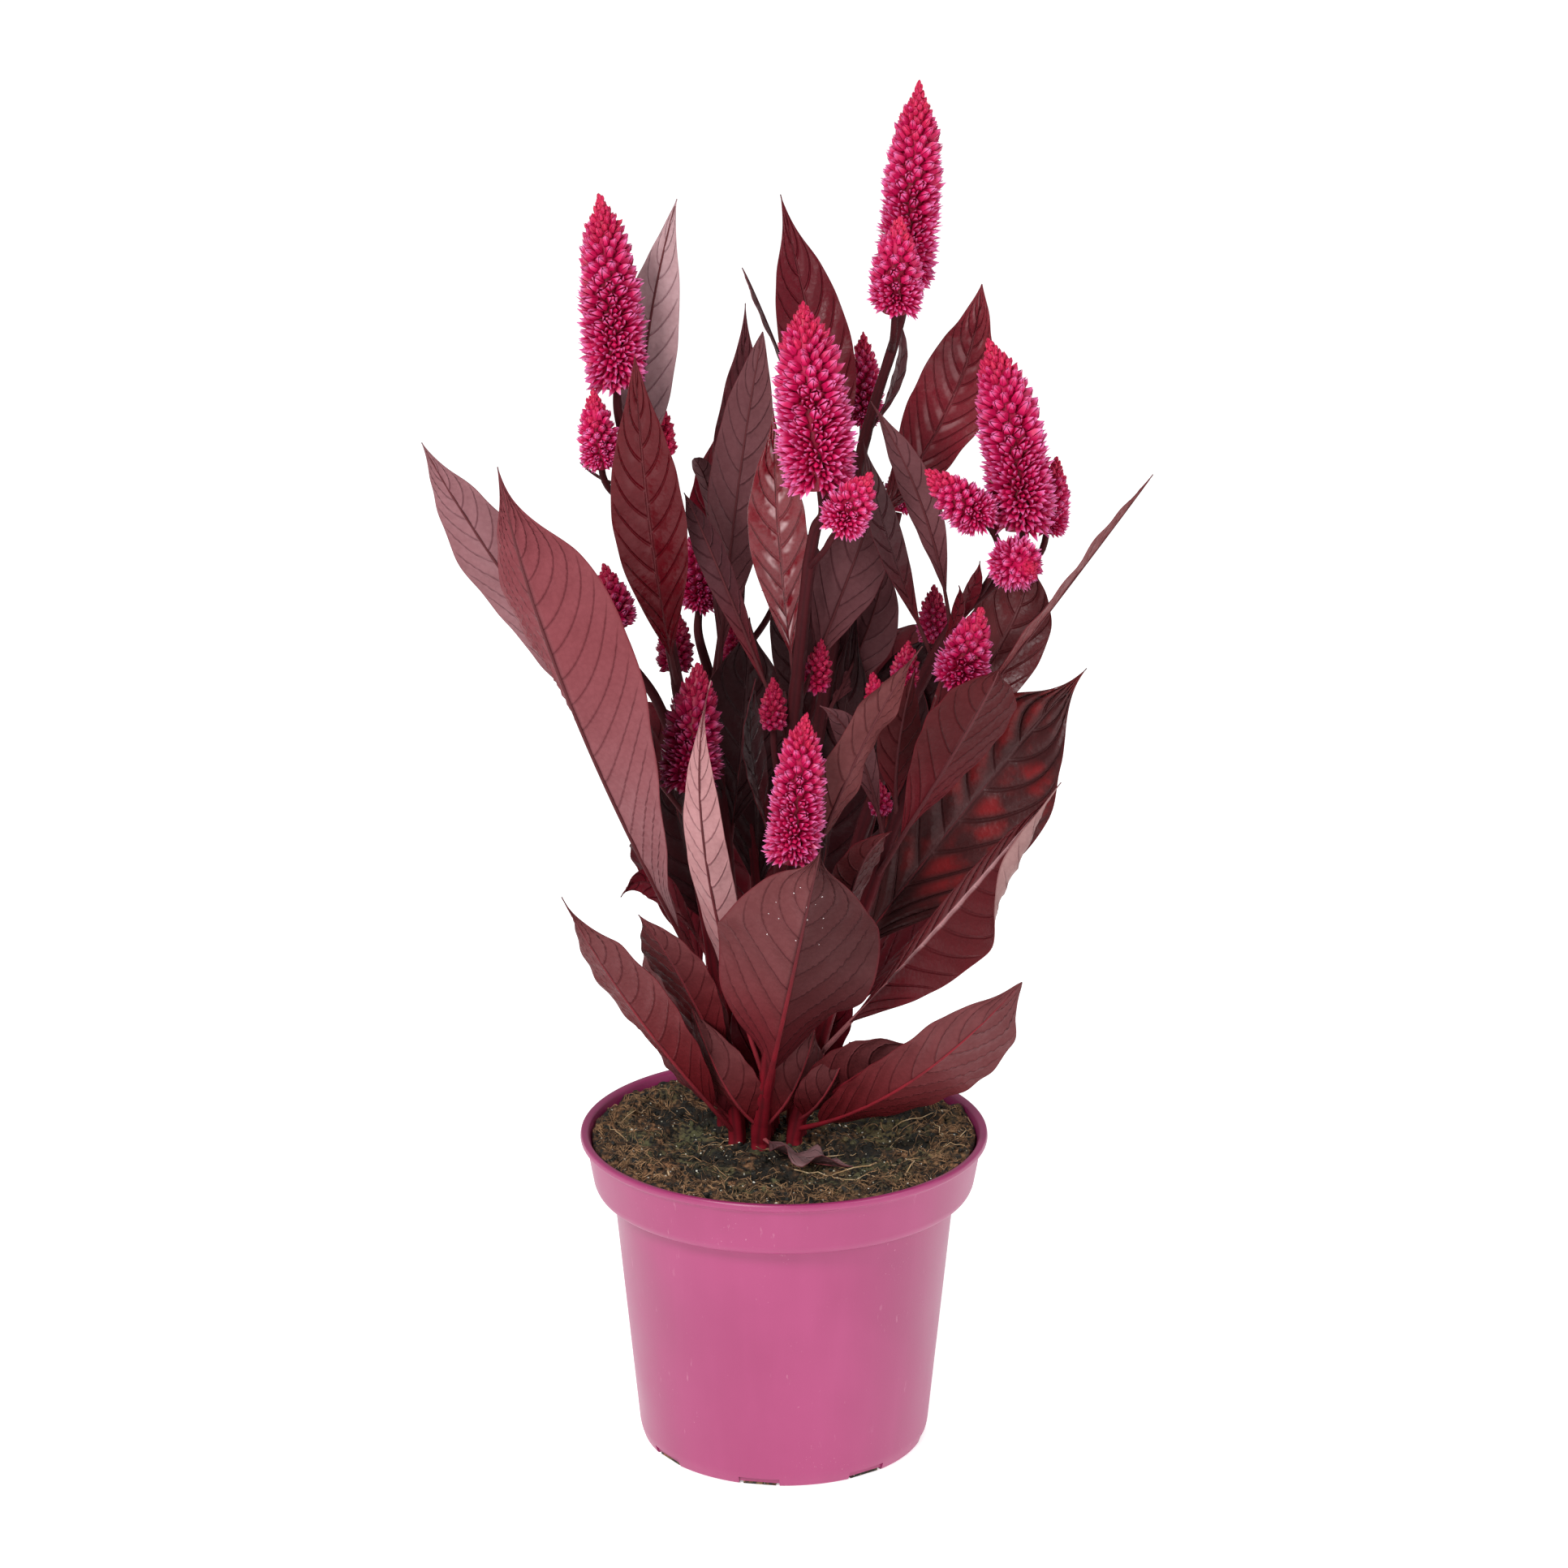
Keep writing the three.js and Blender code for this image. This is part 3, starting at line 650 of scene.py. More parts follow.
def upright_frame(centre: Vector, along: Vector, side: Vector) -> Matrix:
    """Makes a frame whose Z is along one direction and whose X is nearest to another.

    Args:
        centre: its origin.
        along: the direction of its Z.
        side: the direction that its X keeps nearest to.

    Returns:
        The frame, as a matrix.
    """
    z = along.normalized()
    x = (side - z * side.dot(z)).normalized()
    return Matrix.Translation(centre) @ Matrix((x, z.cross(x), z)).transposed().to_4x4()


@dataclass
class Sweep:
    """A closed tube along a path, with a section that may be flat or ridged.

    Args:
        path: the points that it follows.
        widths: half its width at each point, towards its side.
        side: the direction that its section's X keeps nearest to.
        sides: the corners of its section.
        flat: its depth as a share of its width.
        ridges: how many ridges run along it.
        relief: how high the ridges are, as a share of its width.
    """

    path: Sequence[Vector]
    widths: Sequence[float]
    side: Vector
    sides: int = 8
    flat: float = 1.0
    ridges: int = 0
    relief: float = 0.0

    def grow(self, bm: bmesh.types.BMesh, layer: str, mark: Callable[[float, float], Point]) -> None:
        """Adds the tube to a mesh.

        Args:
            bm: the mesh.
            layer: the vector attribute that mark gives its values to.
            mark: the attribute's value for a share along the tube and a ridge height.
        """
        attribute = bm.verts.layers.float_vector.get(layer)
        before = len(bm.faces)
        frames = self._frames()
        start = bmesh.ops.create_circle(bm, cap_ends=True, segments=self.sides, radius=1.0)["verts"]
        heights = {}
        for vertex in start:
            angle = math.atan2(vertex.co.y, vertex.co.x)
            heights[vertex] = math.cos(self.ridges * angle) if self.ridges else 0.0
            swell = 1 + self.relief * heights[vertex]
            vertex.co = Vector((vertex.co.x * swell, vertex.co.y * swell * self.flat, 0))
            vertex[attribute] = Vector(mark(0.0, heights[vertex]))
        bmesh.ops.transform(bm, matrix=frames[0], verts=start)
        cap = [face for face in start[0].link_faces if len(face.verts) == self.sides]
        ridge = [heights[vertex] for vertex in cap[0].verts]
        for i in range(1, len(frames)):
            cap = self._extrude(bm, cap)
            ring = list(cap[0].verts)
            bmesh.ops.transform(bm, matrix=frames[i] @ frames[i - 1].inverted(), verts=ring)
            for vertex, height in zip(ring, ridge):
                vertex[attribute] = Vector(mark(i / (len(frames) - 1), height))
        bm.faces.ensure_lookup_table()
        bmesh.ops.recalc_face_normals(bm, faces=bm.faces[before:])

    @staticmethod
    def _extrude(bm: bmesh.types.BMesh, cap: list[bmesh.types.BMFace]) -> list[bmesh.types.BMFace]:
        """Pulls the end face out, leaving walls behind, and returns the new end face."""
        grown = bmesh.ops.extrude_face_region(bm, geom=cap, use_keep_orig=False)["geom"]
        return [item for item in grown if isinstance(item, bmesh.types.BMFace)]

    def _frames(self) -> list[Matrix]:
        """Sizes and turns the section along the path.

        Returns:
            A scaled frame for each of the path's points.
        """
        frames = []
        for i, point in enumerate(self.path):
            along = self.path[min(i + 1, len(self.path) - 1)] - self.path[max(i - 1, 0)]
            frames.append(upright_frame(point, along, self.side) @ Matrix.Scale(self.widths[i], 4))
        return frames


def new_mesh(*layers: str) -> bmesh.types.BMesh:
    """Starts an empty mesh.

    Args:
        layers: the names of its vertices' vector attributes.

    Returns:
        The mesh.
    """
    bm = bmesh.new()
    for layer in layers:
        bm.verts.layers.float_vector.new(layer)
    return bm


def gather(bm: bmesh.types.BMesh, part: bmesh.types.BMesh) -> None:
    """Moves a small mesh into a large one, because growing it there would take far longer.

    Args:
        bm: the large mesh.
        part: the small one, which is freed.
    """
    mesh = bpy.data.meshes.new("part")
    part.to_mesh(mesh)
    part.free()
    bm.from_mesh(mesh)
    bpy.data.meshes.remove(mesh)


def faces_around(vertices: Iterable[bmesh.types.BMVert]) -> list[bmesh.types.BMFace]:
    """The faces that touch any of these vertices, in a fixed order."""
    return list(dict.fromkeys(face for vertex in vertices for face in vertex.link_faces))


def make_piece(
    name: str,
    bm: bmesh.types.BMesh,
    finishes: Sequence[Finish],
    nodes: Iterable[str] = (),
    sharp: float = 60.0,
) -> bpy.types.Object:
    """Turns a mesh in millimetres into a finished piece in metres that rides on the pot's body.

    Args:
        name: the piece's name.
        bm: its mesh, which is freed.
        finishes: its finishes, in the order of its faces' material numbers.
        nodes: the model's nodes that it stands for.
        sharp: edges that fold by more than this many degrees stay sharp.

    Returns:
        The piece.
    """
    mesh = bpy.data.meshes.new(name)
    bm.to_mesh(mesh)
    bm.free()
    mesh.transform(Matrix.Scale(MM, 4))
    mesh.shade_smooth()
    mesh.set_sharp_from_angle(angle=math.radians(sharp))
    for finish in finishes:
        mesh.materials.append(finish.material())
    piece = bpy.data.objects.new(name, mesh)
    bpy.context.scene.collection.objects.link(piece)
    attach(piece, "root")
    if nodes:
        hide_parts(*nodes)
    mesh.calc_loop_triangles()
    log.info("%s: %d triangles", name, len(mesh.loop_triangles))
    return piece


# ---------------------------------------------------------------- the pot


def rounded(corners: Sequence[tuple[float, float, float]], steps: int = 5) -> list[Vector]:
    """An outline in the XZ plane whose corners are rounded.

    Args:
        corners: radius, height and rounding of each corner.
        steps: points on each rounded corner.

    Returns:
        The outline's points.
    """
    places = [Vector((r, 0, z)) for r, z, _ in corners]
    points = []
    for i, (_, _, rounding) in enumerate(corners):
        here = places[i]
        if not rounding:
            points.append(here)
            continue
        back = here + (places[i - 1] - here).normalized() * rounding
        ahead = here + (places[i + 1] - here).normalized() * rounding
        points += [bezier(back, here, ahead, step / steps) for step in range(steps + 1)]
    return points


@dataclass
class Pot:
    """The nursery pot: a tapered cup with a banded rim, a rolled lip, a foot ring, drain slots and holes.

    Args:
        lip: the radius of its lip.
        height: from its foot to its lip.
        collar: the height of the band under the lip.
        neck: its radius under the band.
        foot: its radius at the foot.
        wall: how thick it is.
        floor: how far its floor stands clear of the surface.
        steps: the flats round it.
        slots: how many drain slots its foot ring has.
        slot_width: how wide each slot is.
        slot_rise: how high each slot is.
        slot_turn: how far the slots are turned about its axis, in degrees.
        holes: how many drain holes its floor has.
        hole_radius: the radius of each hole.
        hole_ring: how far the holes are from its axis.
    """

    lip: float = 60.0
    height: float = 96.0
    collar: float = 17.0
    neck: float = 50.3
    foot: float = 43.0
    wall: float = 1.4
    floor: float = 3.2
    steps: int = 160
    slots: int = 8
    slot_width: float = 12.0
    slot_rise: float = 2.6
    slot_turn: float = -10.0
    holes: int = 6
    hole_radius: float = 4.0
    hole_ring: float = 24.0

    @property
    def shoulder(self) -> float:
        """The height of the step under the rim's band."""
        return self.height - self.collar

    def outline(self) -> list[Vector]:
        """Draws the section from the middle of the underside, round the wall, to the middle of the floor.

        Returns:
            The section's points, in the XZ plane.
        """
        band_top = self.lip - 1.8
        band_foot = self.lip - 4.0
        inner = self.floor + self.wall
        return rounded(
            [
                (0, self.floor, 0),
                (self.foot - 4.2, self.floor, 0.8),
                (self.foot - 4.0, 0, 0.5),
                (self.foot - 1.2, 0, 0.9),
                (self.foot, 3.5, 1.6),
                (self.neck, self.shoulder - 1.2, 0.6),
                (band_foot - 0.9, self.shoulder, 0.8),
                (band_foot, self.shoulder + 1.6, 1.0),
                (band_top, self.height - 2.9, 0.6),
                (self.lip, self.height - 2.0, 0.7),
                (self.lip - 0.3, self.height, 0.9),
                (self.lip - 2.4, self.height - 0.4, 0.8),
                (band_top - self.wall, self.height - 2.8, 0.6),
                (band_foot - self.wall, self.shoulder + 2.9, 1.2),
                (self.neck - self.wall, self.shoulder - 0.8, 1.2),
                (self.foot - self.wall - 0.1, inner, 1.2),
                (0, inner, 0),
            ]
        )

    def build(self) -> bpy.types.Object:
        """Cuts the drain openings, leaves a shallow recess behind each slot and dresses the pot.

        Returns:
            The piece.
        """
        shell = self._plain("pot_shell", self._spun())
        cutter = self._plain("pot_cutter", self._cutters())
        cut = shell.modifiers.new("drains", "BOOLEAN")
        cut.operation = "DIFFERENCE"
        cut.solver = "EXACT"
        cut.object = cutter
        depsgraph = bpy.context.evaluated_depsgraph_get()
        result = bpy.data.meshes.new_from_object(shell.evaluated_get(depsgraph))
        for used in (shell, cutter):
            bpy.data.objects.remove(used)
        drained = new_mesh()
        drained.from_mesh(result)
        rise = 0.75 * self.slot_rise
        self.add_slot_boxes(drained, (0, 2.8 - self.foot, rise), (self.slot_width + 0.4, 2.0, rise))
        return make_piece("pot_body", drained, [POT_PLASTIC], ["pot"], sharp=38.0)

    def _spun(self) -> bmesh.types.BMesh:
        """Spins the section into the pot's shell.

        Returns:
            The shell's mesh.
        """
        bm = new_mesh()
        points = [bm.verts.new(point) for point in self.outline()]
        edges = [bm.edges.new(pair) for pair in zip(points, points[1:])]
        bmesh.ops.spin(
            bm,
            geom=points + edges,
            axis=(0, 0, 1),
            cent=(0, 0, 0),
            angle=math.tau,
            steps=self.steps,
            use_merge=True,
        )
        bmesh.ops.remove_doubles(bm, verts=bm.verts[:], dist=1e-4)
        bmesh.ops.recalc_face_normals(bm, faces=bm.faces[:])
        return bm

    @staticmethod
    def _plain(name: str, bm: bmesh.types.BMesh) -> bpy.types.Object:
        """Makes a working object for the cut, removed afterwards.

        Args:
            name: its name.
            bm: its mesh, which is freed.

        Returns:
            The object.
        """
        mesh = bpy.data.meshes.new(name)
        bm.to_mesh(mesh)
        bm.free()
        plain = bpy.data.objects.new(name, mesh)
        bpy.context.scene.collection.objects.link(plain)
        return plain

    def add_slot_boxes(self, bm: bmesh.types.BMesh, place: Point, size: Point) -> None:
        """Adds a box at each drain slot.

        Args:
            bm: the mesh that gets them.
            place: the box's middle, before the slot's turn about the pot's axis.
            size: its width, depth and height.
        """
        box = Matrix.Diagonal((*size, 1))
        start = math.radians(self.slot_turn)
        for i in range(self.slots):
            turn = Matrix.Rotation(math.tau * i / self.slots + start, 4, "Z")
            bmesh.ops.create_cube(bm, size=1.0, matrix=turn @ Matrix.Translation(place) @ box)

    def _cutters(self) -> bmesh.types.BMesh:
        """Makes the boxes of the drain slots and the cylinders of the drain holes.

        Returns:
            The mesh that is cut away.
        """
        bm = new_mesh()
        self.add_slot_boxes(bm, (0, -self.foot, 0), (self.slot_width, 12.0, 2 * self.slot_rise))
        for i in range(self.holes):
            turn = Matrix.Rotation(math.tau * i / self.holes, 4, "Z")
            bmesh.ops.create_cone(
                bm,
                cap_ends=True,
                segments=32,
                radius1=self.hole_radius,
                radius2=self.hole_radius,
                depth=8.0,
                matrix=turn @ Matrix.Translation((self.hole_ring, 0, self.floor)),
            )
        return bm


# ---------------------------------------------------------------- the peat


@dataclass
class Peat:
    """The peat in the pot, with loose crumbs, fibres, pale grains and a few roots on its top.

    Args:
        pot: the pot that it fills.
        level: the height of its top, before the mound and the heap.
        mound: how much higher its middle is.
        relief: how uneven it is on the whole.
        edge: the radius of its top.
        heap: how far it climbs up the wall at its edge.
        cells: the cells across its top.
        crumbs: how many loose crumbs lie on it.
        fibres: how many fibres lie all over it.
        rim_fibres: how many more lie near its edge.
        roots: how many root strands lie on it.
        grains: how many pale grains lie on it.
        seed: the draw that sets them all out.
    """

    pot: Pot
    level: float = 88.3
    mound: float = 2.2
    relief: float = 1.3
    edge: float = 56.3
    heap: float = 5.4
    cells: int = 150
    crumbs: int = 900
    fibres: int = 560
    rim_fibres: int = 900
    roots: int = 18
    grains: int = 420
    seed: int = 7

    CLOD = 7
    CRUMB = 1.7
    CLEARANCE = 0.3
    STRAND_STEPS = 6
    RIM_SHARE = 0.74
    BATCH = 40

    def top(self, x: float, y: float) -> float:
        """Works out the height of the crumbled top.

        Args:
            x: the place's X.
            y: the place's Y.

        Returns:
            The height there.
        """
        r = math.hypot(x, y)
        lumps = math.sin(0.31 * x + 1.7) * math.cos(0.27 * y - 0.6) + 0.6 * math.sin(0.53 * y + 0.41 * x)
        clods = noise.fractal(Vector((x / self.CLOD, y / self.CLOD, 3.1)), 0.9, 2.1, 3) * 1.5
        coarse = noise.noise(Vector((x / self.CRUMB, y / self.CRUMB, 9.4))) * 0.7
        crumbs = coarse + abs(noise.noise(Vector((x, y, 2.2)))) * 0.5
        heap = self.heap * smoothstep(0.45, 0.9, r / self.edge)
        mound = self.mound * (1 - (r / self.edge) ** 2)
        return self.level + mound + heap + 0.5 * self.relief * lumps + clods + crumbs

    def build(self) -> list[bpy.types.Object]:
        """Makes the bed and everything that lies on it."""
        return [self._bed(), self._slot_peat_shade(), self._crumbs(), self._fibres(), self._roots(), self._grains()]

    def _bed(self) -> bpy.types.Object:
        """Makes the body of the peat, from its crumbled top down to the pot's floor.

        Returns:
            The piece.
        """
        bm = new_mesh()
        bmesh.ops.create_grid(bm, x_segments=self.cells, y_segments=self.cells, size=1.0)
        for vertex in bm.verts:
            u, v = vertex.co.x, vertex.co.y
            x = self.edge * u * math.sqrt(1 - v * v / 2)
            y = self.edge * v * math.sqrt(1 - u * u / 2)
            vertex.co = Vector((x, y, self.top(x, y)))
        pot = self.pot
        rings = [
            (pot.lip - 4 - pot.wall - self.CLEARANCE, pot.shoulder + 3.2),
            (pot.neck - pot.wall - self.CLEARANCE, pot.shoulder - 0.8),
            (pot.foot - pot.wall - 0.4, pot.floor + pot.wall + self.CLEARANCE),
        ]
        border = [edge for edge in bm.edges if edge.is_boundary]
        for radius, height in rings:
            grown = bmesh.ops.extrude_edge_only(bm, edges=border)["geom"]
            border = [item for item in grown if isinstance(item, bmesh.types.BMEdge)]
            for vertex in (item for item in grown if isinstance(item, bmesh.types.BMVert)):
                outward = Vector((vertex.co.x, vertex.co.y, 0)).normalized()
                vertex.co = outward * radius + Vector((0, 0, height))
        bmesh.ops.contextual_create(bm, geom=border)
        bmesh.ops.recalc_face_normals(bm, faces=bm.faces[:])
        return make_piece("peat_bed", bm, [PEAT_MIX], ["peat"], sharp=180.0)

    def _slot_peat_shade(self) -> bpy.types.Object:
        """Makes the dark peat that shows in each drain slot, which also stands in as painted shade inside the
        slot.

        Returns:
            The piece.
        """
        bm = new_mesh()
        # dark peat blocks in the slots: partly peat, partly painted shade where the slot's inside lies in
        # shadow
        self.pot.add_slot_boxes(bm, (0, 3.5 - self.pot.foot, 0.65), (0.8 * self.pot.slot_width, 3.0, 1.15))
        return make_piece("peat_and_slot_shade", bm, [PEAT_MIX])

    def _spot(self, draw: random.Random, inner: float = 0.0) -> Vector:
        """Draws a place on the top, evenly spread.

        Args:
            draw: the draw.
            inner: the share of the radius that stays clear round the middle.

        Returns:
            The place.
        """
        r = (self.edge - 1.5) * math.sqrt(draw.uniform(inner * inner, 1))
        angle = draw.uniform(0, math.tau)
        x, y = r * math.cos(angle), r * math.sin(angle)
        return Vector((x, y, self.top(x, y)))

    def _lumps(
        self,
        name: str,
        finish: Finish,
        count: int,
        sizes: tuple[float, float],
        seed: int,
    ) -> bpy.types.Object:
        """Makes small uneven lumps that lie half sunk in the top.

        Args:
            name: the piece's name.
            finish: its finish.
            count: how many lumps.
            sizes: the least and the greatest radius.
            seed: the draw that sets them out.

        Returns:
            The piece.
        """
        draw = random.Random(seed)
        noise.seed_set(seed)
        bm = new_mesh()
        for _ in range(count):
            size = draw.uniform(*sizes) * draw.uniform(0.7, 1.0)
            angle = draw.uniform(0, math.tau)
            axis = Vector((draw.random(), draw.random(), 1)).normalized()
            turn = Matrix.Rotation(angle, 4, axis)
            squash = Matrix.Diagonal((size, size * draw.uniform(0.5, 1.0), size * draw.uniform(0.45, 0.9), 1))
            place = Matrix.Translation(self._spot(draw) + Vector((0, 0, 0.15 * size)))
            bmesh.ops.create_icosphere(bm, subdivisions=1, radius=1.0, matrix=place @ turn @ squash)
        for vertex in bm.verts:
            vertex.co += noise.noise_vector(vertex.co * 0.9) * 0.3
        return make_piece(name, bm, [finish], sharp=50.0)

    def _crumbs(self) -> bpy.types.Object:
        """Loose crumbs of peat."""
        return self._lumps("peat_crumbs", PEAT_MIX, self.crumbs, (0.5, 1.7), self.seed)

    def _grains(self) -> bpy.types.Object:
        """Pale mineral grains."""
        return self._lumps("peat_grains", PALE_GRAIN, self.grains, (0.18, 0.55), self.seed + 1)

    def _strand(self, draw: random.Random, length: float, lift: float, inner: float = 0.0) -> list[Vector]:
        """Leads a wandering strand over the top, which lifts a little along the way.

        Args:
            draw: the draw.
            length: how long it is.
            lift: how high its middle lifts.
            inner: the share of the top's radius inside which no strand starts.

        Returns:
            The strand's points.
        """
        here = self._spot(draw, inner)
        heading = draw.uniform(0, math.tau)
        steps = self.STRAND_STEPS
        limit = self.edge - 0.8
        points = []
        for step in range(steps + 1):
            arch = lift * math.sin(math.pi * step / steps) * draw.uniform(0.6, 1.3)
            points.append(Vector((here.x, here.y, self.top(here.x, here.y) + 0.1 + arch)))
            heading += draw.gauss(0, 0.45)
            here = here + Vector((math.cos(heading), math.sin(heading), 0)) * (length / steps)
            if math.hypot(here.x, here.y) > limit:
                heading += math.pi / 2
                here = here * (limit / math.hypot(here.x, here.y))
        return points

    def _fibres(self) -> bpy.types.Object:
        """Makes the short brown fibres, which are gathered in batches.

        Returns:
            The piece.
        """
        draw = random.Random(self.seed + 2)
        bm = new_mesh("strand")
        part = new_mesh("strand")
        for i in range(self.fibres + self.rim_fibres):
            inner = self.RIM_SHARE if i >= self.fibres else 0.0
            path = self._strand(draw, draw.uniform(2.5, 8.0), draw.uniform(0.1, 1.3), inner)
            width = draw.uniform(0.07, 0.18)
            widths = [width * (1 - 0.5 * step / self.STRAND_STEPS) for step in range(self.STRAND_STEPS + 1)]
            Sweep(path, widths, Vector((0.3, 0.2, 1)), sides=3).grow(part, "strand", lambda t, _: (t, 0, 0))
            if i % self.BATCH == self.BATCH - 1:
                gather(bm, part)
                part = new_mesh("strand")
        gather(bm, part)
        return make_piece("peat_fibres", bm, [PEAT_FIBRE])

    def _roots(self) -> bpy.types.Object:
        """Makes the pale root strands, and the long one that lies along the rim on the right.

        Returns:
            The piece.
        """
        draw = random.Random(self.seed + 3)
        bm = new_mesh("strand")
        paths = [self._strand(draw, draw.uniform(8, 22), draw.uniform(0.3, 1.6)) for _ in range(self.roots)]
        rim = [Vector((54.5, 12, 94.5)), Vector((56, 4, 93.5)), Vector((54.5, -4, 91)), Vector((50, -10, 90))]
        paths.append(through(rim, 4))
        for path in paths:
            width = draw.uniform(0.14, 0.26)
            widths = [width * (1 - 0.6 * i / (len(path) - 1)) for i in range(len(path))]
            Sweep(path, widths, Vector((0.3, 0.2, 1)), sides=5).grow(bm, "strand", lambda t, _: (t, 0, 0))
        return make_piece("peat_roots", bm, [PALE_ROOT])


# ---------------------------------------------------------------- florets and spikes


@dataclass(frozen=True)
class Floret:
    """One floret of five keeled, pointed tepals round a small capsule.

    Its axis is +Z, its length is 1 and its half-width about 1, so that a spike can size both apart.
    A tepal's line is given by radius and height, for a closed bud and for an open floret.

    Args:
        age: 0 for an open floret and 1 for a closed bud.
        lengths: the length of each tepal.
    """

    age: float
    lengths: tuple[float, ...] = (1.0, 0.90, 1.06, 0.94, 1.02)

    CLOSED = ((0.22, 0.0), (0.72, 0.36), (0.66, 0.72), (0.13, 1.08))
    OPEN = ((0.22, 0.0), (0.72, 0.38), (0.98, 0.74), (1.62, 1.12))
    DEPTHS = (0.18, 0.31, 0.22, 0.028)
    CAPSULE_HEIGHTS = (0.0, 0.5, 0.92)
    CAPSULE_WIDTHS = (0.5, 0.66, 0.16)

    def mesh(self) -> bpy.types.Mesh:
        """Sweeps the tepals and the capsule.

        Returns:
            The floret's mesh.
        """
        bm = new_mesh("floret")
        opening = 1 - smoothstep(0.0, 0.70, self.age)
        for i, length in enumerate(self.lengths):
            turn = Matrix.Rotation(math.tau * i / len(self.lengths), 4, "Z")
            path = [
                turn @ Vector((lerp(r0, r1, opening), 0, lerp(z0, z1, opening) * length))
                for (r0, z0), (r1, z1) in zip(self.CLOSED, self.OPEN)
            ]
            outward = turn @ Vector((1, 0, 0))
            tepal = Sweep(path, self.DEPTHS, outward, sides=3, flat=2.6)
            tepal.grow(bm, "floret", lambda t, _: (t, self.age, 0))
        middle = [Vector((0, 0, z)) for z in self.CAPSULE_HEIGHTS]
        capsule = Sweep(middle, self.CAPSULE_WIDTHS, Vector((1, 0, 0)), sides=4)
        capsule.grow(bm, "floret", lambda t, _: (t * lerp(0.85, 0.30, opening), self.age, 0))
        mesh = bpy.data.meshes.new("floret")
        bm.to_mesh(mesh)
        bm.free()
        return mesh


class FloretSet:
    """The floret at a few ages, from wide open to a closed bud."""

    AGES = 9

    def __init__(self) -> None:
        """Makes the meshes."""
        self.meshes = [Floret(i / (self.AGES - 1)).mesh() for i in range(self.AGES)]

    def stamp(self, bm: bmesh.types.BMesh, age: float, place: Matrix) -> None:
        """Adds a floret to a mesh.

        Args:
            bm: the mesh.
            age: its age, which the nearest made one stands for.
            place: the matrix that sizes it and puts it in place.
        """
        index = min(max(round(age * (self.AGES - 1)), 0), self.AGES - 1)
        copy = self.meshes[index].copy()
        copy.transform(place)
        bm.from_mesh(copy)
        bpy.data.meshes.remove(copy)

    def clear(self) -> None:
        """Removes the meshes once the spikes are made."""
        for mesh in self.meshes:
            bpy.data.meshes.remove(mesh)


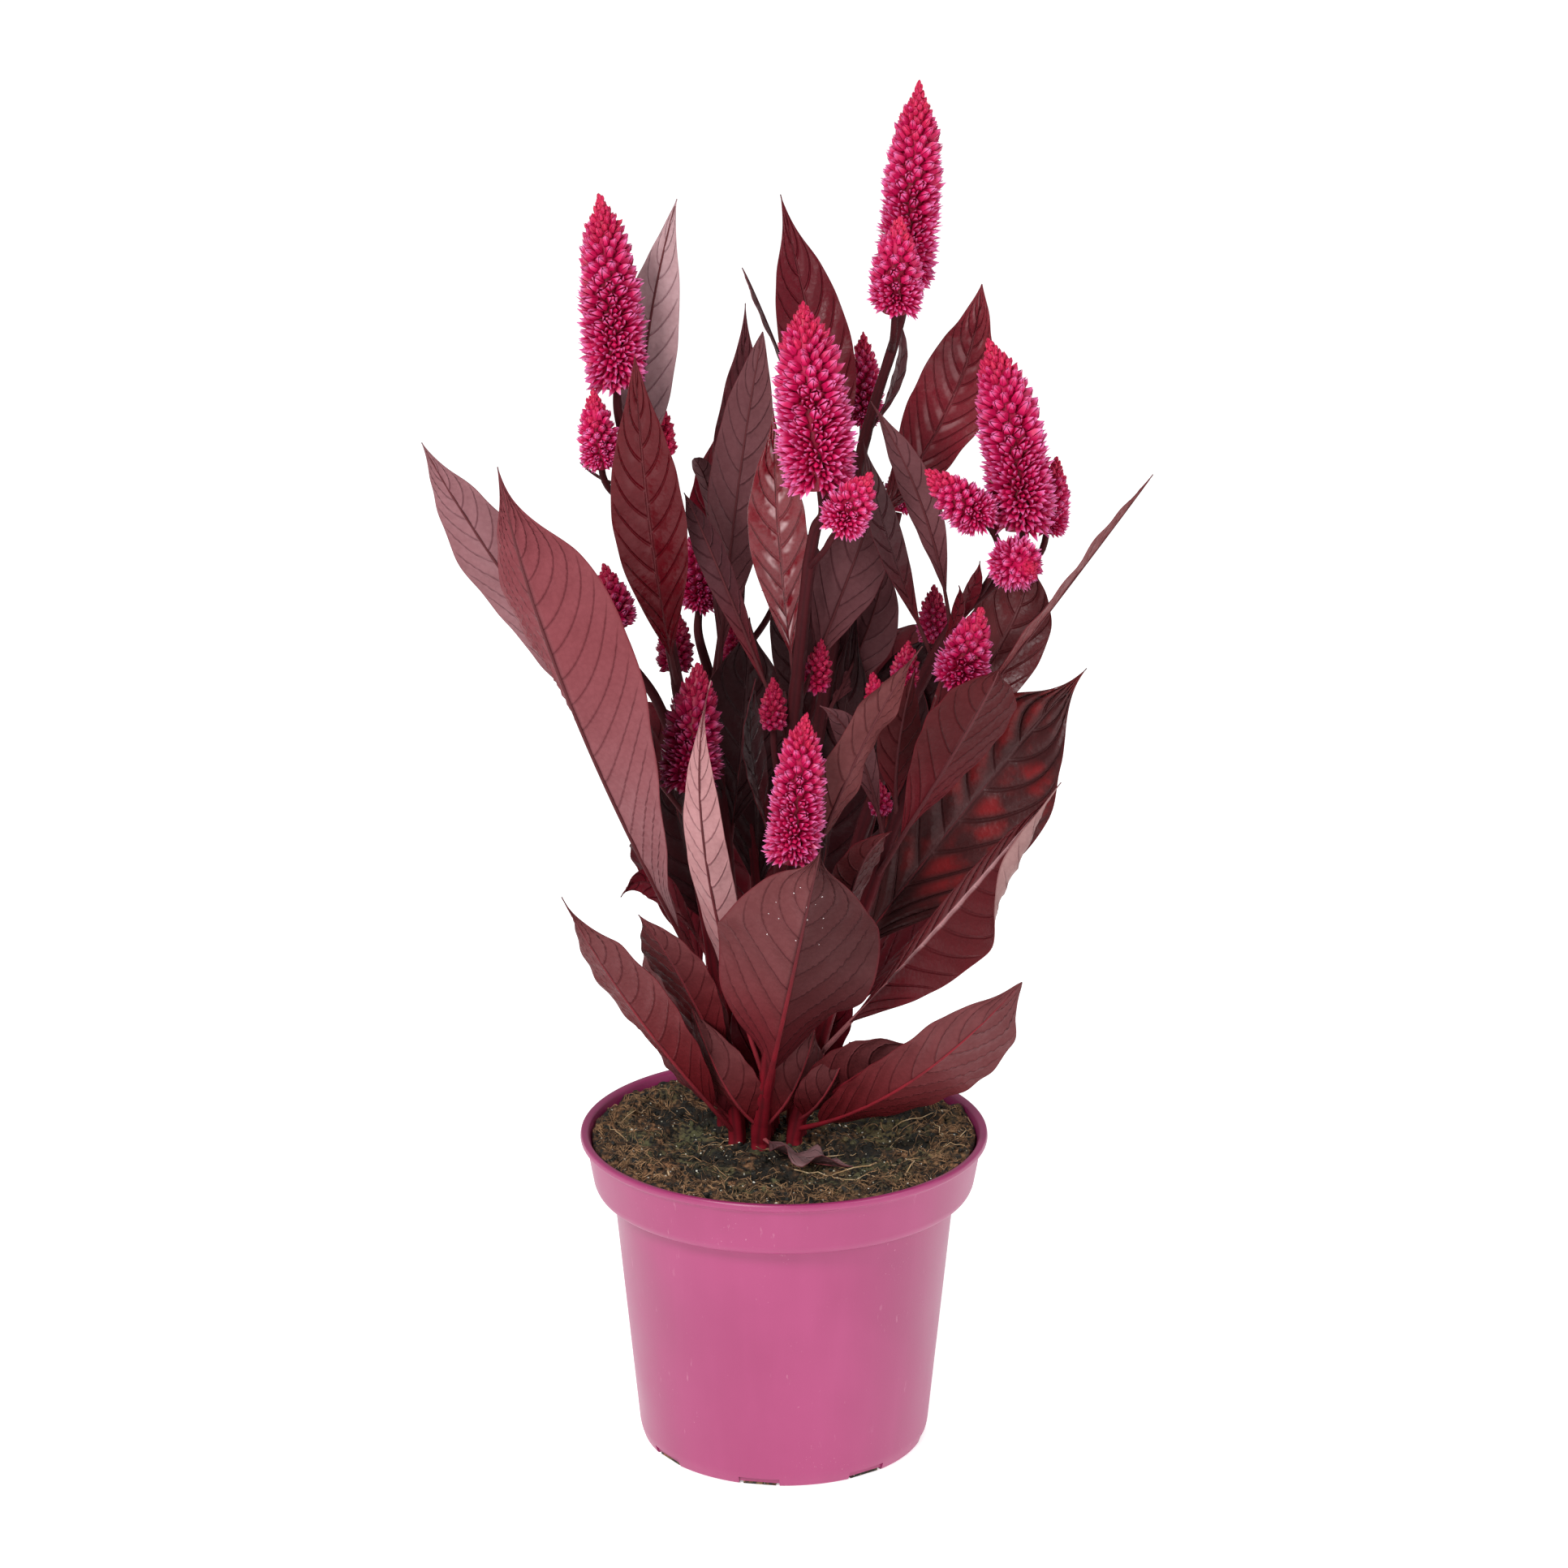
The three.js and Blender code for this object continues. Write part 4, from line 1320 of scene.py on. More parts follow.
@dataclass
class Spike:
    """A flower spike: a dark core covered with florets in a spiral.

    The open florets stand in slanting columns. The young ones near the tip are turned by the golden angle,
    which leaves no rows.

    Args:
        base: where it sits on its stalk.
        tip: its end.
        radius: its widest radius, out to the florets' tips.
        bend: how far its middle bows.
        youth: how much of its opening is still ahead, from 0 to 1.
        painted_shade: painted shade for a spike that lies in shade: how far it darkens, from 0 to 1.
        extra: whether it is a small one that the model leaves out.
    """

    base: Point
    tip: Point
    radius: float
    bend: Point = (0, 0, 0)
    youth: float = 0.0
    painted_shade: float = 0.0
    extra: bool = False

    FLORET_AREA = 13.2
    FLORET_HALF = 1.66
    CORE = 0.56
    CORE_STEPS = 14
    CORE_END = 0.985
    CORE_LEAST = 0.35
    COLUMNS = 13.12
    SPIRAL_TOP = 0.74
    SIDE = (1, 0.2, 0)
    STATION_STEPS = 700
    MATURE = (
        (0, 0.88), (0.1, 0.96), (0.3, 1.0), (0.5, 1.0), (0.6, 0.93), (0.7, 0.83),
        (0.78, 0.73), (0.84, 0.58), (0.9, 0.33), (0.95, 0.15), (1, 0.03),
    )
    YOUNG = ((0, 0.82), (0.14, 1.0), (0.4, 0.95), (0.58, 0.80), (0.75, 0.55), (0.88, 0.27), (1, 0.03))

    @property
    def ends(self) -> tuple[Vector, Vector, Vector]:
        """The start, control point and end of the spike's axis."""
        base, tip = Vector(self.base), Vector(self.tip)
        return base, (base + tip) / 2 + Vector(self.bend), tip

    @property
    def length(self) -> float:
        """The distance from its base to its tip."""
        return (Vector(self.tip) - Vector(self.base)).length

    @property
    def scale(self) -> float:
        """The size of its florets, which are smaller on a small spike."""
        return min(max(self.radius / 9.0, 0.56), 1.0)

    def direction(self) -> Vector:
        """The way that the axis points at its base."""
        return (Vector(self.tip) - Vector(self.base) + 2 * Vector(self.bend)).normalized()

    def outline(self, u: float) -> float:
        """Works out how wide the spike is.

        Args:
            u: the place along it, from 0 at its base to 1 at its tip.

        Returns:
            The share of its widest radius there.
        """
        grown = smoothstep(28, 46, self.length)
        return lerp(interpolate(self.YOUNG, u), interpolate(self.MATURE, u), grown)

    @staticmethod
    def _shrink(u: float) -> float:
        """How much smaller the florets get towards the tip."""
        return lerp(1.0, 0.36, smoothstep(0.6, 1.0, u))

    def _stations(self) -> list[float]:
        """Spaces the florets so that each has its own room.

        Returns:
            Their places along the spike, from 0 to 1.
        """
        fine = self.STATION_STEPS
        room = 0.5
        stations = []
        for i in range(fine):
            u = (i + 0.5) / fine
            size = self.scale * self._shrink(u)
            skin = math.tau * 0.8 * self.radius * self.outline(u) * self.length / fine
            room += skin / (self.FLORET_AREA * size * size)
            if room >= 1:
                stations.append(u)
                room -= 1
        return stations

    def build(self, name: str, florets: FloretSet) -> bpy.types.Object:
        """Makes the spike and dresses it.

        Args:
            name: the model's node that it replaces, if it isn't an extra one.
            florets: the floret at its ages.

        Returns:
            The piece.
        """
        draw = random.Random(name)
        bm = new_mesh("floret")
        self._grow_core(bm)
        azimuth = draw.uniform(0, math.tau)
        lump = Vector((draw.uniform(0, 90), 0, 0))
        for u in self._stations():
            azimuth += GOLDEN_ANGLE if u > self.SPIRAL_TOP else 2 * math.tau / self.COLUMNS
            place = self._seat(draw, u, azimuth, lump)
            age = self.youth + (1 - self.youth) * u + draw.gauss(0, 0.05)
            florets.stamp(bm, age, place)
        # the third channel holds the spike's painted shade
        attribute = bm.verts.layers.float_vector["floret"]
        for vertex in bm.verts:
            vertex[attribute].z = self.painted_shade
        nodes = [] if self.extra else [name]
        return make_piece(name.replace("spike", "florets"), bm, [FLORET_SKIN], nodes, sharp=75.0)

    def _grow_core(self, bm: bmesh.types.BMesh) -> None:
        """Adds the dark core, which is lighter in its outer half, where the florets are small.

        Args:
            bm: the spike's mesh.
        """
        shares = [i / self.CORE_STEPS * self.CORE_END for i in range(self.CORE_STEPS + 1)]
        path = [bezier(*self.ends, u) for u in shares]
        widths = [max(self.radius * self.CORE * self.outline(u), self.CORE_LEAST) for u in shares]
        core = Sweep(path, widths, Vector(self.SIDE), sides=12)
        # the core carries the spike's painted shade as well
        core.grow(bm, "floret", lambda t, _: (lerp(0.1, 0.34, smoothstep(0.5, 0.7, t)), t, self.painted_shade))

    def _seat(self, draw: random.Random, u: float, azimuth: float, lump: Vector) -> Matrix:
        """Sets a floret on the core, pointing outwards and, higher up, towards the tip.

        Args:
            draw: the spike's draw.
            u: the floret's place along the spike.
            azimuth: its place round the spike, before a small unevenness.
            lump: where the spike's own unevenness starts in the noise.

        Returns:
            The matrix that sizes the floret and puts it in place.
        """
        along = bezier_slope(*self.ends, u)
        turned = azimuth + draw.gauss(0, 0.06)
        ring = upright_frame(Vector(), along, Vector(self.SIDE))
        radial = ring @ Vector((math.cos(turned), math.sin(turned), 0))
        size = self.scale * self._shrink(u)
        rise = lerp(-1.8, 2.0, smoothstep(0, 0.3, u)) + 2.4 * smoothstep(0.55, 0.85, u)
        seat = min(max(u - rise * size / self.length, 0.0), 0.97)
        root = bezier(*self.ends, seat) + radial * (0.85 * self.CORE * self.radius * self.outline(seat))
        uneven = 1 + 0.13 * noise.noise(lump + radial * 1.3 + Vector((0, 0, u * self.length / 7)))
        skin = bezier(*self.ends, u) + radial * (self.radius * self.outline(u) * uneven)
        tip = skin + along * draw.gauss(0, 0.25)
        reach = max((tip - root).length, 2.3 * size) * draw.uniform(0.9, 1.06)
        half = self.FLORET_HALF * size * draw.uniform(0.9, 1.08)
        spin = Matrix.Rotation(draw.uniform(0, math.tau), 4, "Z")
        return upright_frame(root, tip - root, along) @ spin @ Matrix.Diagonal((half, half, reach, 1))


# ---------------------------------------------------------------- leaves and stems


@dataclass(frozen=True)
class Tint:
    """A leaf's colours.

    Args:
        upper: the colour of its upper side.
        under: the colour of its lower side.
        gloss: how glossy it is, from 0 to 1, which also sets its painted highlight streaks.
        blotched: how far its cells show scarlet, from 0 to 1.
        foot: the colour that it takes on towards its stalk.
        spread: how far along the blade that colour reaches.
    """

    upper: Colour
    under: Colour
    gloss: float = 0.3
    blotched: float = 0.0
    foot: Colour = (0.125, 0.007, 0.013)
    spread: float = 0.45


class Tone(Enum):
    """The tints that the leaves have."""

    WINE = Tint((0.115, 0.006, 0.013), (0.125, 0.035, 0.040), 0.4)
    BURGUNDY = Tint((0.094, 0.001, 0.005), (0.10, 0.03, 0.035), 0.52, foot=(0.085, 0.001, 0.005))
    RED = Tint((0.195, 0.018, 0.028), (0.20, 0.050, 0.058), 0.66)
    GLOSSY = Tint((0.160, 0.006, 0.013), (0.20, 0.050, 0.058), 1.0)
    PALE = Tint((0.120, 0.010, 0.016), (0.195, 0.045, 0.054), 0.3, foot=(0.27, 0.112, 0.122), spread=0.6)
    BLUSH = Tint((0.140, 0.020, 0.028), (0.43, 0.215, 0.220), 0.4, foot=(0.36, 0.15, 0.16))
    ROSE = Tint((0.125, 0.010, 0.016), (0.140, 0.038, 0.041), 0.3)
    RUSSET = Tint((0.105, 0.005, 0.010), (0.140, 0.038, 0.041), 0.45, foot=(0.120, 0.003, 0.007), spread=0.85)
    TAN = Tint((0.130, 0.012, 0.018), (0.178, 0.049, 0.051), 0.3)
    MAUVE = Tint((0.110, 0.020, 0.028), (0.250, 0.110, 0.122), 0.4, foot=(0.15, 0.05, 0.06))
    BROWN = Tint((0.100, 0.014, 0.017), (0.072, 0.009, 0.011), 0.2)
    CURLED = Tint((0.092, 0.012, 0.015), (0.290, 0.160, 0.155), 0.3)
    SOOT = Tint((0.066, 0.017, 0.021), (0.085, 0.026, 0.032), 0.4)
    SHADOW = Tint((0.034, 0.006, 0.008), (0.040, 0.010, 0.012), 0.1, foot=(0.03, 0.004, 0.006))
    GREY = Tint((0.110, 0.020, 0.028), (0.440, 0.275, 0.290), 0.5, foot=(0.13, 0.06, 0.068))
    DUSK = Tint((0.095, 0.018, 0.024), (0.150, 0.055, 0.062), 0.4, foot=(0.10, 0.02, 0.025))
    BLOTCHED = Tint((0.058, 0.015, 0.016), (0.085, 0.025, 0.028), 0.42, 1.0, foot=(0.06, 0.015, 0.016))
    WITHERED = Tint((0.210, 0.115, 0.120), (0.130, 0.065, 0.068), 0.2, foot=(0.10, 0.04, 0.045))


@dataclass
class Leaf:
    """A leaf: a petiole and midrib along an arc, and a folded, waved and quilted blade with side veins.

    Args:
        height: where it leaves its stem.
        middle: a point that its midrib passes half way.
        tip: its end.
        width: its widest.
        face: the way that its upper side looks.
        peak: where along the blade it is widest.
        point: how pointed its outer half is.
        base: how fast its inner half narrows towards its stalk.
        tail: how far its tip is drawn out, from 0 to 1.
        skew: how much wider one half is than the other.
        fold: how far its halves fold up, in degrees.
        wave: how far its edges wave, in degrees.
        roll: how far one edge rolls over near the tip, in degrees. Its sign chooses the edge.
        twist: how far it turns about its midrib from its stalk to its tip, in degrees.
        painted_half_shade: painted shade: how much darker one half is than the other. Its sign chooses the
            half.
        veins: the room from one side vein to the next, or 0 for what its size gives.
        crumple: how uneven it is.
        tone: its tint.
        rib: how pale its midrib is.
        drops: beads of water on its lower side.
        arc: the start, control point and end of its midrib, once it grows.
        length: how long the midrib is.
        across: the direction across the blade.
        seed: where its own unevenness starts in the noise.
    """

    height: float
    middle: Point
    tip: Point
    width: float
    face: Point
    peak: float = 0.5
    point: float = 1.2
    base: float = 1.15
    tail: float = 0.45
    skew: float = 0.0
    fold: float = 15.0
    wave: float = 0.0
    roll: float = 0.0
    twist: float = 0.0
    painted_half_shade: float = 0.0
    veins: float = 0.0
    crumple: float = 1.0
    tone: Tone = Tone.WINE
    rib: float = 0.05
    drops: int = 0
    arc: tuple[Vector, Vector, Vector] = field(init=False, repr=False)
    length: float = field(init=False, repr=False)
    across: Vector = field(init=False, repr=False)
    seed: Vector = field(init=False, repr=False)

    ARC_STEPS = 20
    RIB_STEPS = 26
    STALK = 0.12
    WAVES = 2.5
    CELL = 1.45
    THICK = 0.34

    def blade_width(self, s: float) -> float:
        """Works out how wide the blade is.

        Args:
            s: the place along it, from 0 at its stalk to 1 at its tip.

        Returns:
            The share of its widest half-width there.
        """
        if not 0 < s < 1:
            return 0.0
        if s < self.peak:
            return math.sin(math.pi / 2 * s / self.peak) ** self.base
        outer = (s - self.peak) / (1 - self.peak)
        return math.cos(math.pi / 2 * outer) ** self.point * (1 - self.tail * smoothstep(0.5, 0.95, outer))

    def grow(self, bm: bmesh.types.BMesh, root: Vector, seed: int) -> None:
        """Adds the leaf to its stem's mesh.

        Args:
            bm: the stem's mesh.
            root: where the leaf leaves the stem's centre line.
            seed: the draw that sets this leaf's small unevenness.
        """
        tip = Vector(self.tip)
        bend = Vector(self.middle) * 2 - root * 0.5 - tip * 0.5
        self.arc = (root, bend, tip)
        points = [bezier(*self.arc, i / self.ARC_STEPS) for i in range(self.ARC_STEPS + 1)]
        self.length = sum((after - before).length for before, after in zip(points, points[1:]))
        chord = (tip - root).normalized()
        upper = Vector(self.face)
        upper = (upper - chord * upper.dot(chord)).normalized()
        self.across = upper.cross(chord)
        self.seed = Vector((seed * 7.31, seed * 3.17, seed * 1.71))
        self._grow_blade(bm)
        self._grow_rib(bm)
        self._grow_drops(bm, random.Random(seed))

    def _frame(self, t: float) -> tuple[Vector, Vector, Vector]:
        """Works out how the midrib lies.

        Args:
            t: the share of the way along it.

        Returns:
            Its point, its sideways direction and the way that the upper side looks.
        """
        along = bezier_slope(*self.arc, t)
        side = (self.across - along * self.across.dot(along)).normalized()
        side = Matrix.Rotation(math.radians(self.twist * (t - 0.6)), 3, along) @ side
        return bezier(*self.arc, t), side, along.cross(side)

    def _vein_phase(self, s: float, out: float) -> float:
        """Counts the side veins, which arch forward on their way to the margin.

        Args:
            s: the place along the blade.
            out: the place across it, from 0 at the midrib to 1 at the margin.

        Returns:
            A number that is whole on each side vein.
        """
        blade = self.length * (1 - self.STALK)
        veins = max(blade / (self.veins or 6.0 + 0.13 * self.width), 5.0)
        lead = 0.95 * self.width / 2 / blade
        return veins * (s - lead * (0.7 * out + 1.0 * out * out))

    def _blade_point(self, t: float, c: float) -> tuple[Vector, Vector, Point]:
        """Works out a point of the blade.

        Args:
            t: the share of the way along the midrib.
            c: the share of the half-width, negative on one side.

        Returns:
            The point, the way that the upper side looks there, and the blade attribute: the count of the
            veins, the place across and the place along.
        """
        centre, side, normal = self._frame(t)
        s = (t - self.STALK) / (1 - self.STALK)
        out = abs(c)
        hand = math.copysign(1, c)
        uneven = 1 + 0.07 * noise.noise(self.seed + Vector((s * 6, 2 * hand, 0)))
        half = max(self.width / 2 * self.blade_width(s) * (1 + self.skew * hand) * uneven, 0.14)
        ripple = math.sin(math.tau * self.WAVES * s + (2 if c < 0 else 0)) * out
        ease = 1.25 - 0.5 * math.sin(math.pi * min(max(s, 0), 1))
        lift = math.radians(self.fold * ease + self.wave * ripple)
        rolled = max(out - 0.45, 0) / 0.55 if c * self.roll > 0 else 0.0
        turn = lift + math.radians(abs(self.roll)) * rolled * smoothstep(0.45, 0.75, s)
        inner, outer = out - rolled * 0.55, rolled * 0.55
        reach = inner * math.cos(lift) + outer * math.cos((lift + turn) / 2)
        rise = inner * math.sin(lift) + outer * math.sin((lift + turn) / 2)
        facing = normal * math.cos(turn) - side * (hand * math.sin(turn))
        point = centre + side * (hand * half * reach) + normal * (half * rise)
        phase = self._vein_phase(s, out)
        pillow = abs(math.sin(math.pi * (phase + (0.5 if c > 0 else 0.0)))) ** 0.7 - 0.55
        room = smoothstep(0, 0.16, out) * (1 - smoothstep(0.8, 1.0, out)) * smoothstep(0.02, 0.2, s)
        depth = (0.30 + 0.019 * self.width) * (0.75 + 0.9 * self.tone.value.gloss)
        quilt = depth * pillow * room * (1 - smoothstep(0.85, 1, s))
        wide = min(1.0, half / 8)
        drift = 1.3 * self.crumple * noise.noise(self.seed + point / 22) * out * wide
        creases = 0.25 * self.crumple * noise.noise(self.seed + point / 6) * wide
        frill = 0.35 * math.sin(math.tau * 6.5 * s + self.seed.x) * out**3 * wide
        return point + facing * (quilt + drift + creases + frill), facing, (phase, c, s)

    def _shade(self, colour: Colour, c: float, s: float) -> Vector:
        """Grades a side's colour towards its stalk's, and darkens one half with painted shade.

        Args:
            colour: the side's colour.
            c: the place across the blade.
            s: the place along it.

        Returns:
            The colour there.
        """
        tint = self.tone.value
        near = 0.85 * (1 - smoothstep(0.02, tint.spread, s))
        # painted shade: one half is darkened as if it were turned away from the light
        darker = abs(self.painted_half_shade) * smoothstep(-0.08, 0.08, math.copysign(c, c * self.painted_half_shade))
        return Vector(colour).lerp(Vector(tint.foot), near) * (1 - darker)

    def _grow_blade(self, bm: bmesh.types.BMesh) -> None:
        """Adds the blade: a grid bent to shape, then given its thickness.

        Args:
            bm: the stem's mesh.
        """
        layers = {name: bm.verts.layers.float_vector[name] for name in BLADE_LAYERS}
        tint = self.tone.value
        rows = max(round(self.length / self.CELL), 8)
        columns = 2 * max(round(self.width / self.CELL / 2.1), 2)
        grid = bmesh.ops.create_grid(bm, x_segments=columns, y_segments=rows, size=1.0)["verts"]
        start = self.STALK * 0.6
        facings = {}
        for vertex in grid:
            c = -vertex.co.x
            t = start + (1 - start) * (vertex.co.y + 1) / 2
            point, facing, marks = self._blade_point(t, c)
            thick = self.THICK * (1 - 0.35 * abs(c))
            vertex.co = point - facing * thick / 2
            vertex[layers["blade"]] = Vector(marks)
            vertex[layers["upper_tint"]] = self._shade(tint.upper, c, marks[2])
            vertex[layers["under_tint"]] = self._shade(tint.under, c, marks[2])
            vertex[layers["look"]] = Vector((self.rib, tint.blotched, tint.gloss))
            facings[vertex.co.copy().freeze()] = facing * thick
        grown = bmesh.ops.extrude_face_region(bm, geom=faces_around(grid))["geom"]
        upper = [item for item in grown if isinstance(item, bmesh.types.BMFace)]
        for vertex in (item for item in grown if isinstance(item, bmesh.types.BMVert)):
            vertex.co += facings[vertex.co.copy().freeze()]
        skin = faces_around(grid) + upper
        for face in skin:
            face.material_index = PLANT_FINISHES.index(LEAF_UNDER)
        for face in upper:
            face.material_index = PLANT_FINISHES.index(LEAF_UPPER)
        bmesh.ops.recalc_face_normals(bm, faces=skin)

    def _grow_rib(self, bm: bmesh.types.BMesh) -> None:
        """Adds the petiole and the midrib that it runs on into, which stands out on the lower side.

        Args:
            bm: the stem's mesh.
        """
        thick = 0.52 + self.width / 90
        path, widths = [], []
        for i in range(self.RIB_STEPS + 1):
            t = i / self.RIB_STEPS * 0.97
            centre, _, normal = self._frame(t)
            width = thick * (1 - smoothstep(0.0, 0.25, t) * 0.35) * (1 - t) ** 0.75 + 0.12
            path.append(centre - normal * (0.42 * width))
            widths.append(width)
        skin = Sweep(path, widths, self.across, sides=8, flat=0.85)
        skin.grow(bm, "skin", lambda t, _: (1.0, self.rib + 0.08 * t, 0))

    def _grow_drops(self, bm: bmesh.types.BMesh, draw: random.Random) -> None:
        """Adds small beads of water on the lower side.

        Args:
            bm: the stem's mesh.
            draw: the leaf's draw.
        """
        for _ in range(self.drops):
            place, facing, _ = self._blade_point(draw.uniform(0.5, 0.8), draw.uniform(-0.6, 0.3))
            size = draw.uniform(0.12, 0.27)
            frame = upright_frame(place - facing * 0.2, facing, self.across)
            shape = Matrix.Diagonal((size * draw.uniform(0.8, 1.5), size, size * 0.7, 1))
            made = bmesh.ops.create_icosphere(bm, subdivisions=1, radius=1.0, matrix=frame @ shape)
            for face in faces_around(made["verts"]):
                face.material_index = PLANT_FINISHES.index(WATER_DROP)


@dataclass
class LeafyStem:
    """A stem with its leaves, its stalks and its spikes.

    Args:
        name: its name in the model.
        foot: where it stands in the peat.
        thick: its radius at the foot.
        via: points that it passes.
        spike: the spike at its end.
        sides: side spikes, each with the height at which its stalk leaves the stem.
        leaves: its leaves.
    """

    name: str
    foot: tuple[float, float]
    thick: float
    via: Sequence[Point]
    spike: Spike
    leaves: Sequence[Leaf]
    sides: Sequence[tuple[float, Spike]] = ()

    PEAT_TOP = 87.5 + 2.2
    ROOT_DEPTH = 20.0
    TIP = 1.05
    STALK = 0.9
    FIT = 0.3
    LINE_STEPS = 10
    STALK_STEPS = 12
    SIDE = (1, 0.1, 0)

    def curve(self) -> list[Vector]:
        """Leads the stem's centre line from the peat's top to just under its spike.

        Returns:
            The line's points.
        """
        axis = self.spike.direction()
        end = Vector(self.spike.base) - axis * self.FIT
        start = Vector((*self.foot, self.PEAT_TOP))
        lift = start + Vector((0, 0, 4))
        return through([start, lift, *map(Vector, self.via), end - axis * 7, end], self.LINE_STEPS)

    def build(self, florets: FloretSet) -> list[bpy.types.Object]:
        """Makes the leafy stem and its spikes.

        Args:
            florets: the floret at its ages.

        Returns:
            The pieces.
        """
        node = f"stem_{self.name}"
        bm = new_mesh("skin", *BLADE_LAYERS)
        line = self.curve()
        self._grow_shoot(bm, line)
        for height, spike in self.sides:
            self._grow_stalk(bm, self._at_height(line, height), spike)
        for i, leaf in enumerate(self.leaves):
            leaf.grow(bm, self._at_height(line, leaf.height), len(self.name) * 10 + i)
        shoot = make_piece(node.replace("stem", "leafy_stem"), bm, PLANT_FINISHES, [node], 70.0)
        pieces = [shoot]
        pieces.append(self.spike.build(f"spike_{self.name}", florets))
        for i, (_, spike) in enumerate(self.sides):
            pieces.append(spike.build(f"spike_{self.name}_side_{i + 1}", florets))
        return pieces

    @staticmethod
    def _at_height(line: Sequence[Vector], height: float) -> Vector:
        """Finds a point of a rising line.

        Args:
            line: the line's points.
            height: the height that is wanted.

        Returns:
            The point at that height, or the line's end if it stays lower.
        """
        for low, high in zip(line, line[1:]):
            if high.z > height:
                return low.lerp(high, max((height - low.z) / (high.z - low.z), 0.0))
        return line[-1]

    def _grow_shoot(self, bm: bmesh.types.BMesh, line: Sequence[Vector]) -> None:
        """Adds the stem itself, ridged, and swollen where a leaf or a stalk leaves it.

        Args:
            bm: the stem's mesh.
            line: its centre line.
        """
        foot = Vector((*self.foot, self.PEAT_TOP - self.ROOT_DEPTH))
        joints = [leaf.height for leaf in self.leaves] + [height for height, _ in self.sides]
        widths = [self.thick]
        last = len(line) - 1
        for i, point in enumerate(line):
            swell = sum(0.16 * math.exp(-(((point.z - z) / 2.6) ** 2)) for z in joints)
            widths.append(lerp(self.thick, self.TIP, (i / last) ** 0.8) * (1 + min(swell, 0.25)))
        shoot = Sweep([foot, *line], widths, Vector(self.SIDE), sides=20, ridges=5, relief=0.07)
        shoot.grow(bm, "skin", lambda t, ridge: (ridge, 0.0, 0))

    def _grow_stalk(self, bm: bmesh.types.BMesh, start: Vector, spike: Spike) -> None:
        """Adds a side spike's stalk, which leaves the stem sideways and turns up into the spike.

        Args:
            bm: the stem's mesh.
            start: where it leaves the stem.
            spike: the spike that it carries.
        """
        axis = spike.direction()
        end = Vector(spike.base) - axis * self.FIT
        reach = 0.45 * (end - start).length
        stations = [start, start.lerp(end, 0.3), end - axis * reach, end]
        path = []
        for i in range(self.STALK_STEPS + 1):
            t = i / self.STALK_STEPS
            weights = ((1 - t) ** 3, 3 * t * (1 - t) ** 2, 3 * t * t * (1 - t), t**3)
            path.append(sum((w * p for w, p in zip(weights, stations)), Vector()))
        widths = [self.STALK * (1.15 - 0.15 * i / self.STALK_STEPS) for i in range(self.STALK_STEPS + 1)]
        stalk = Sweep(path, widths, Vector(self.SIDE), sides=12, ridges=4, relief=0.06)
        stalk.grow(bm, "skin", lambda t, ridge: (ridge, 0.0, 0))


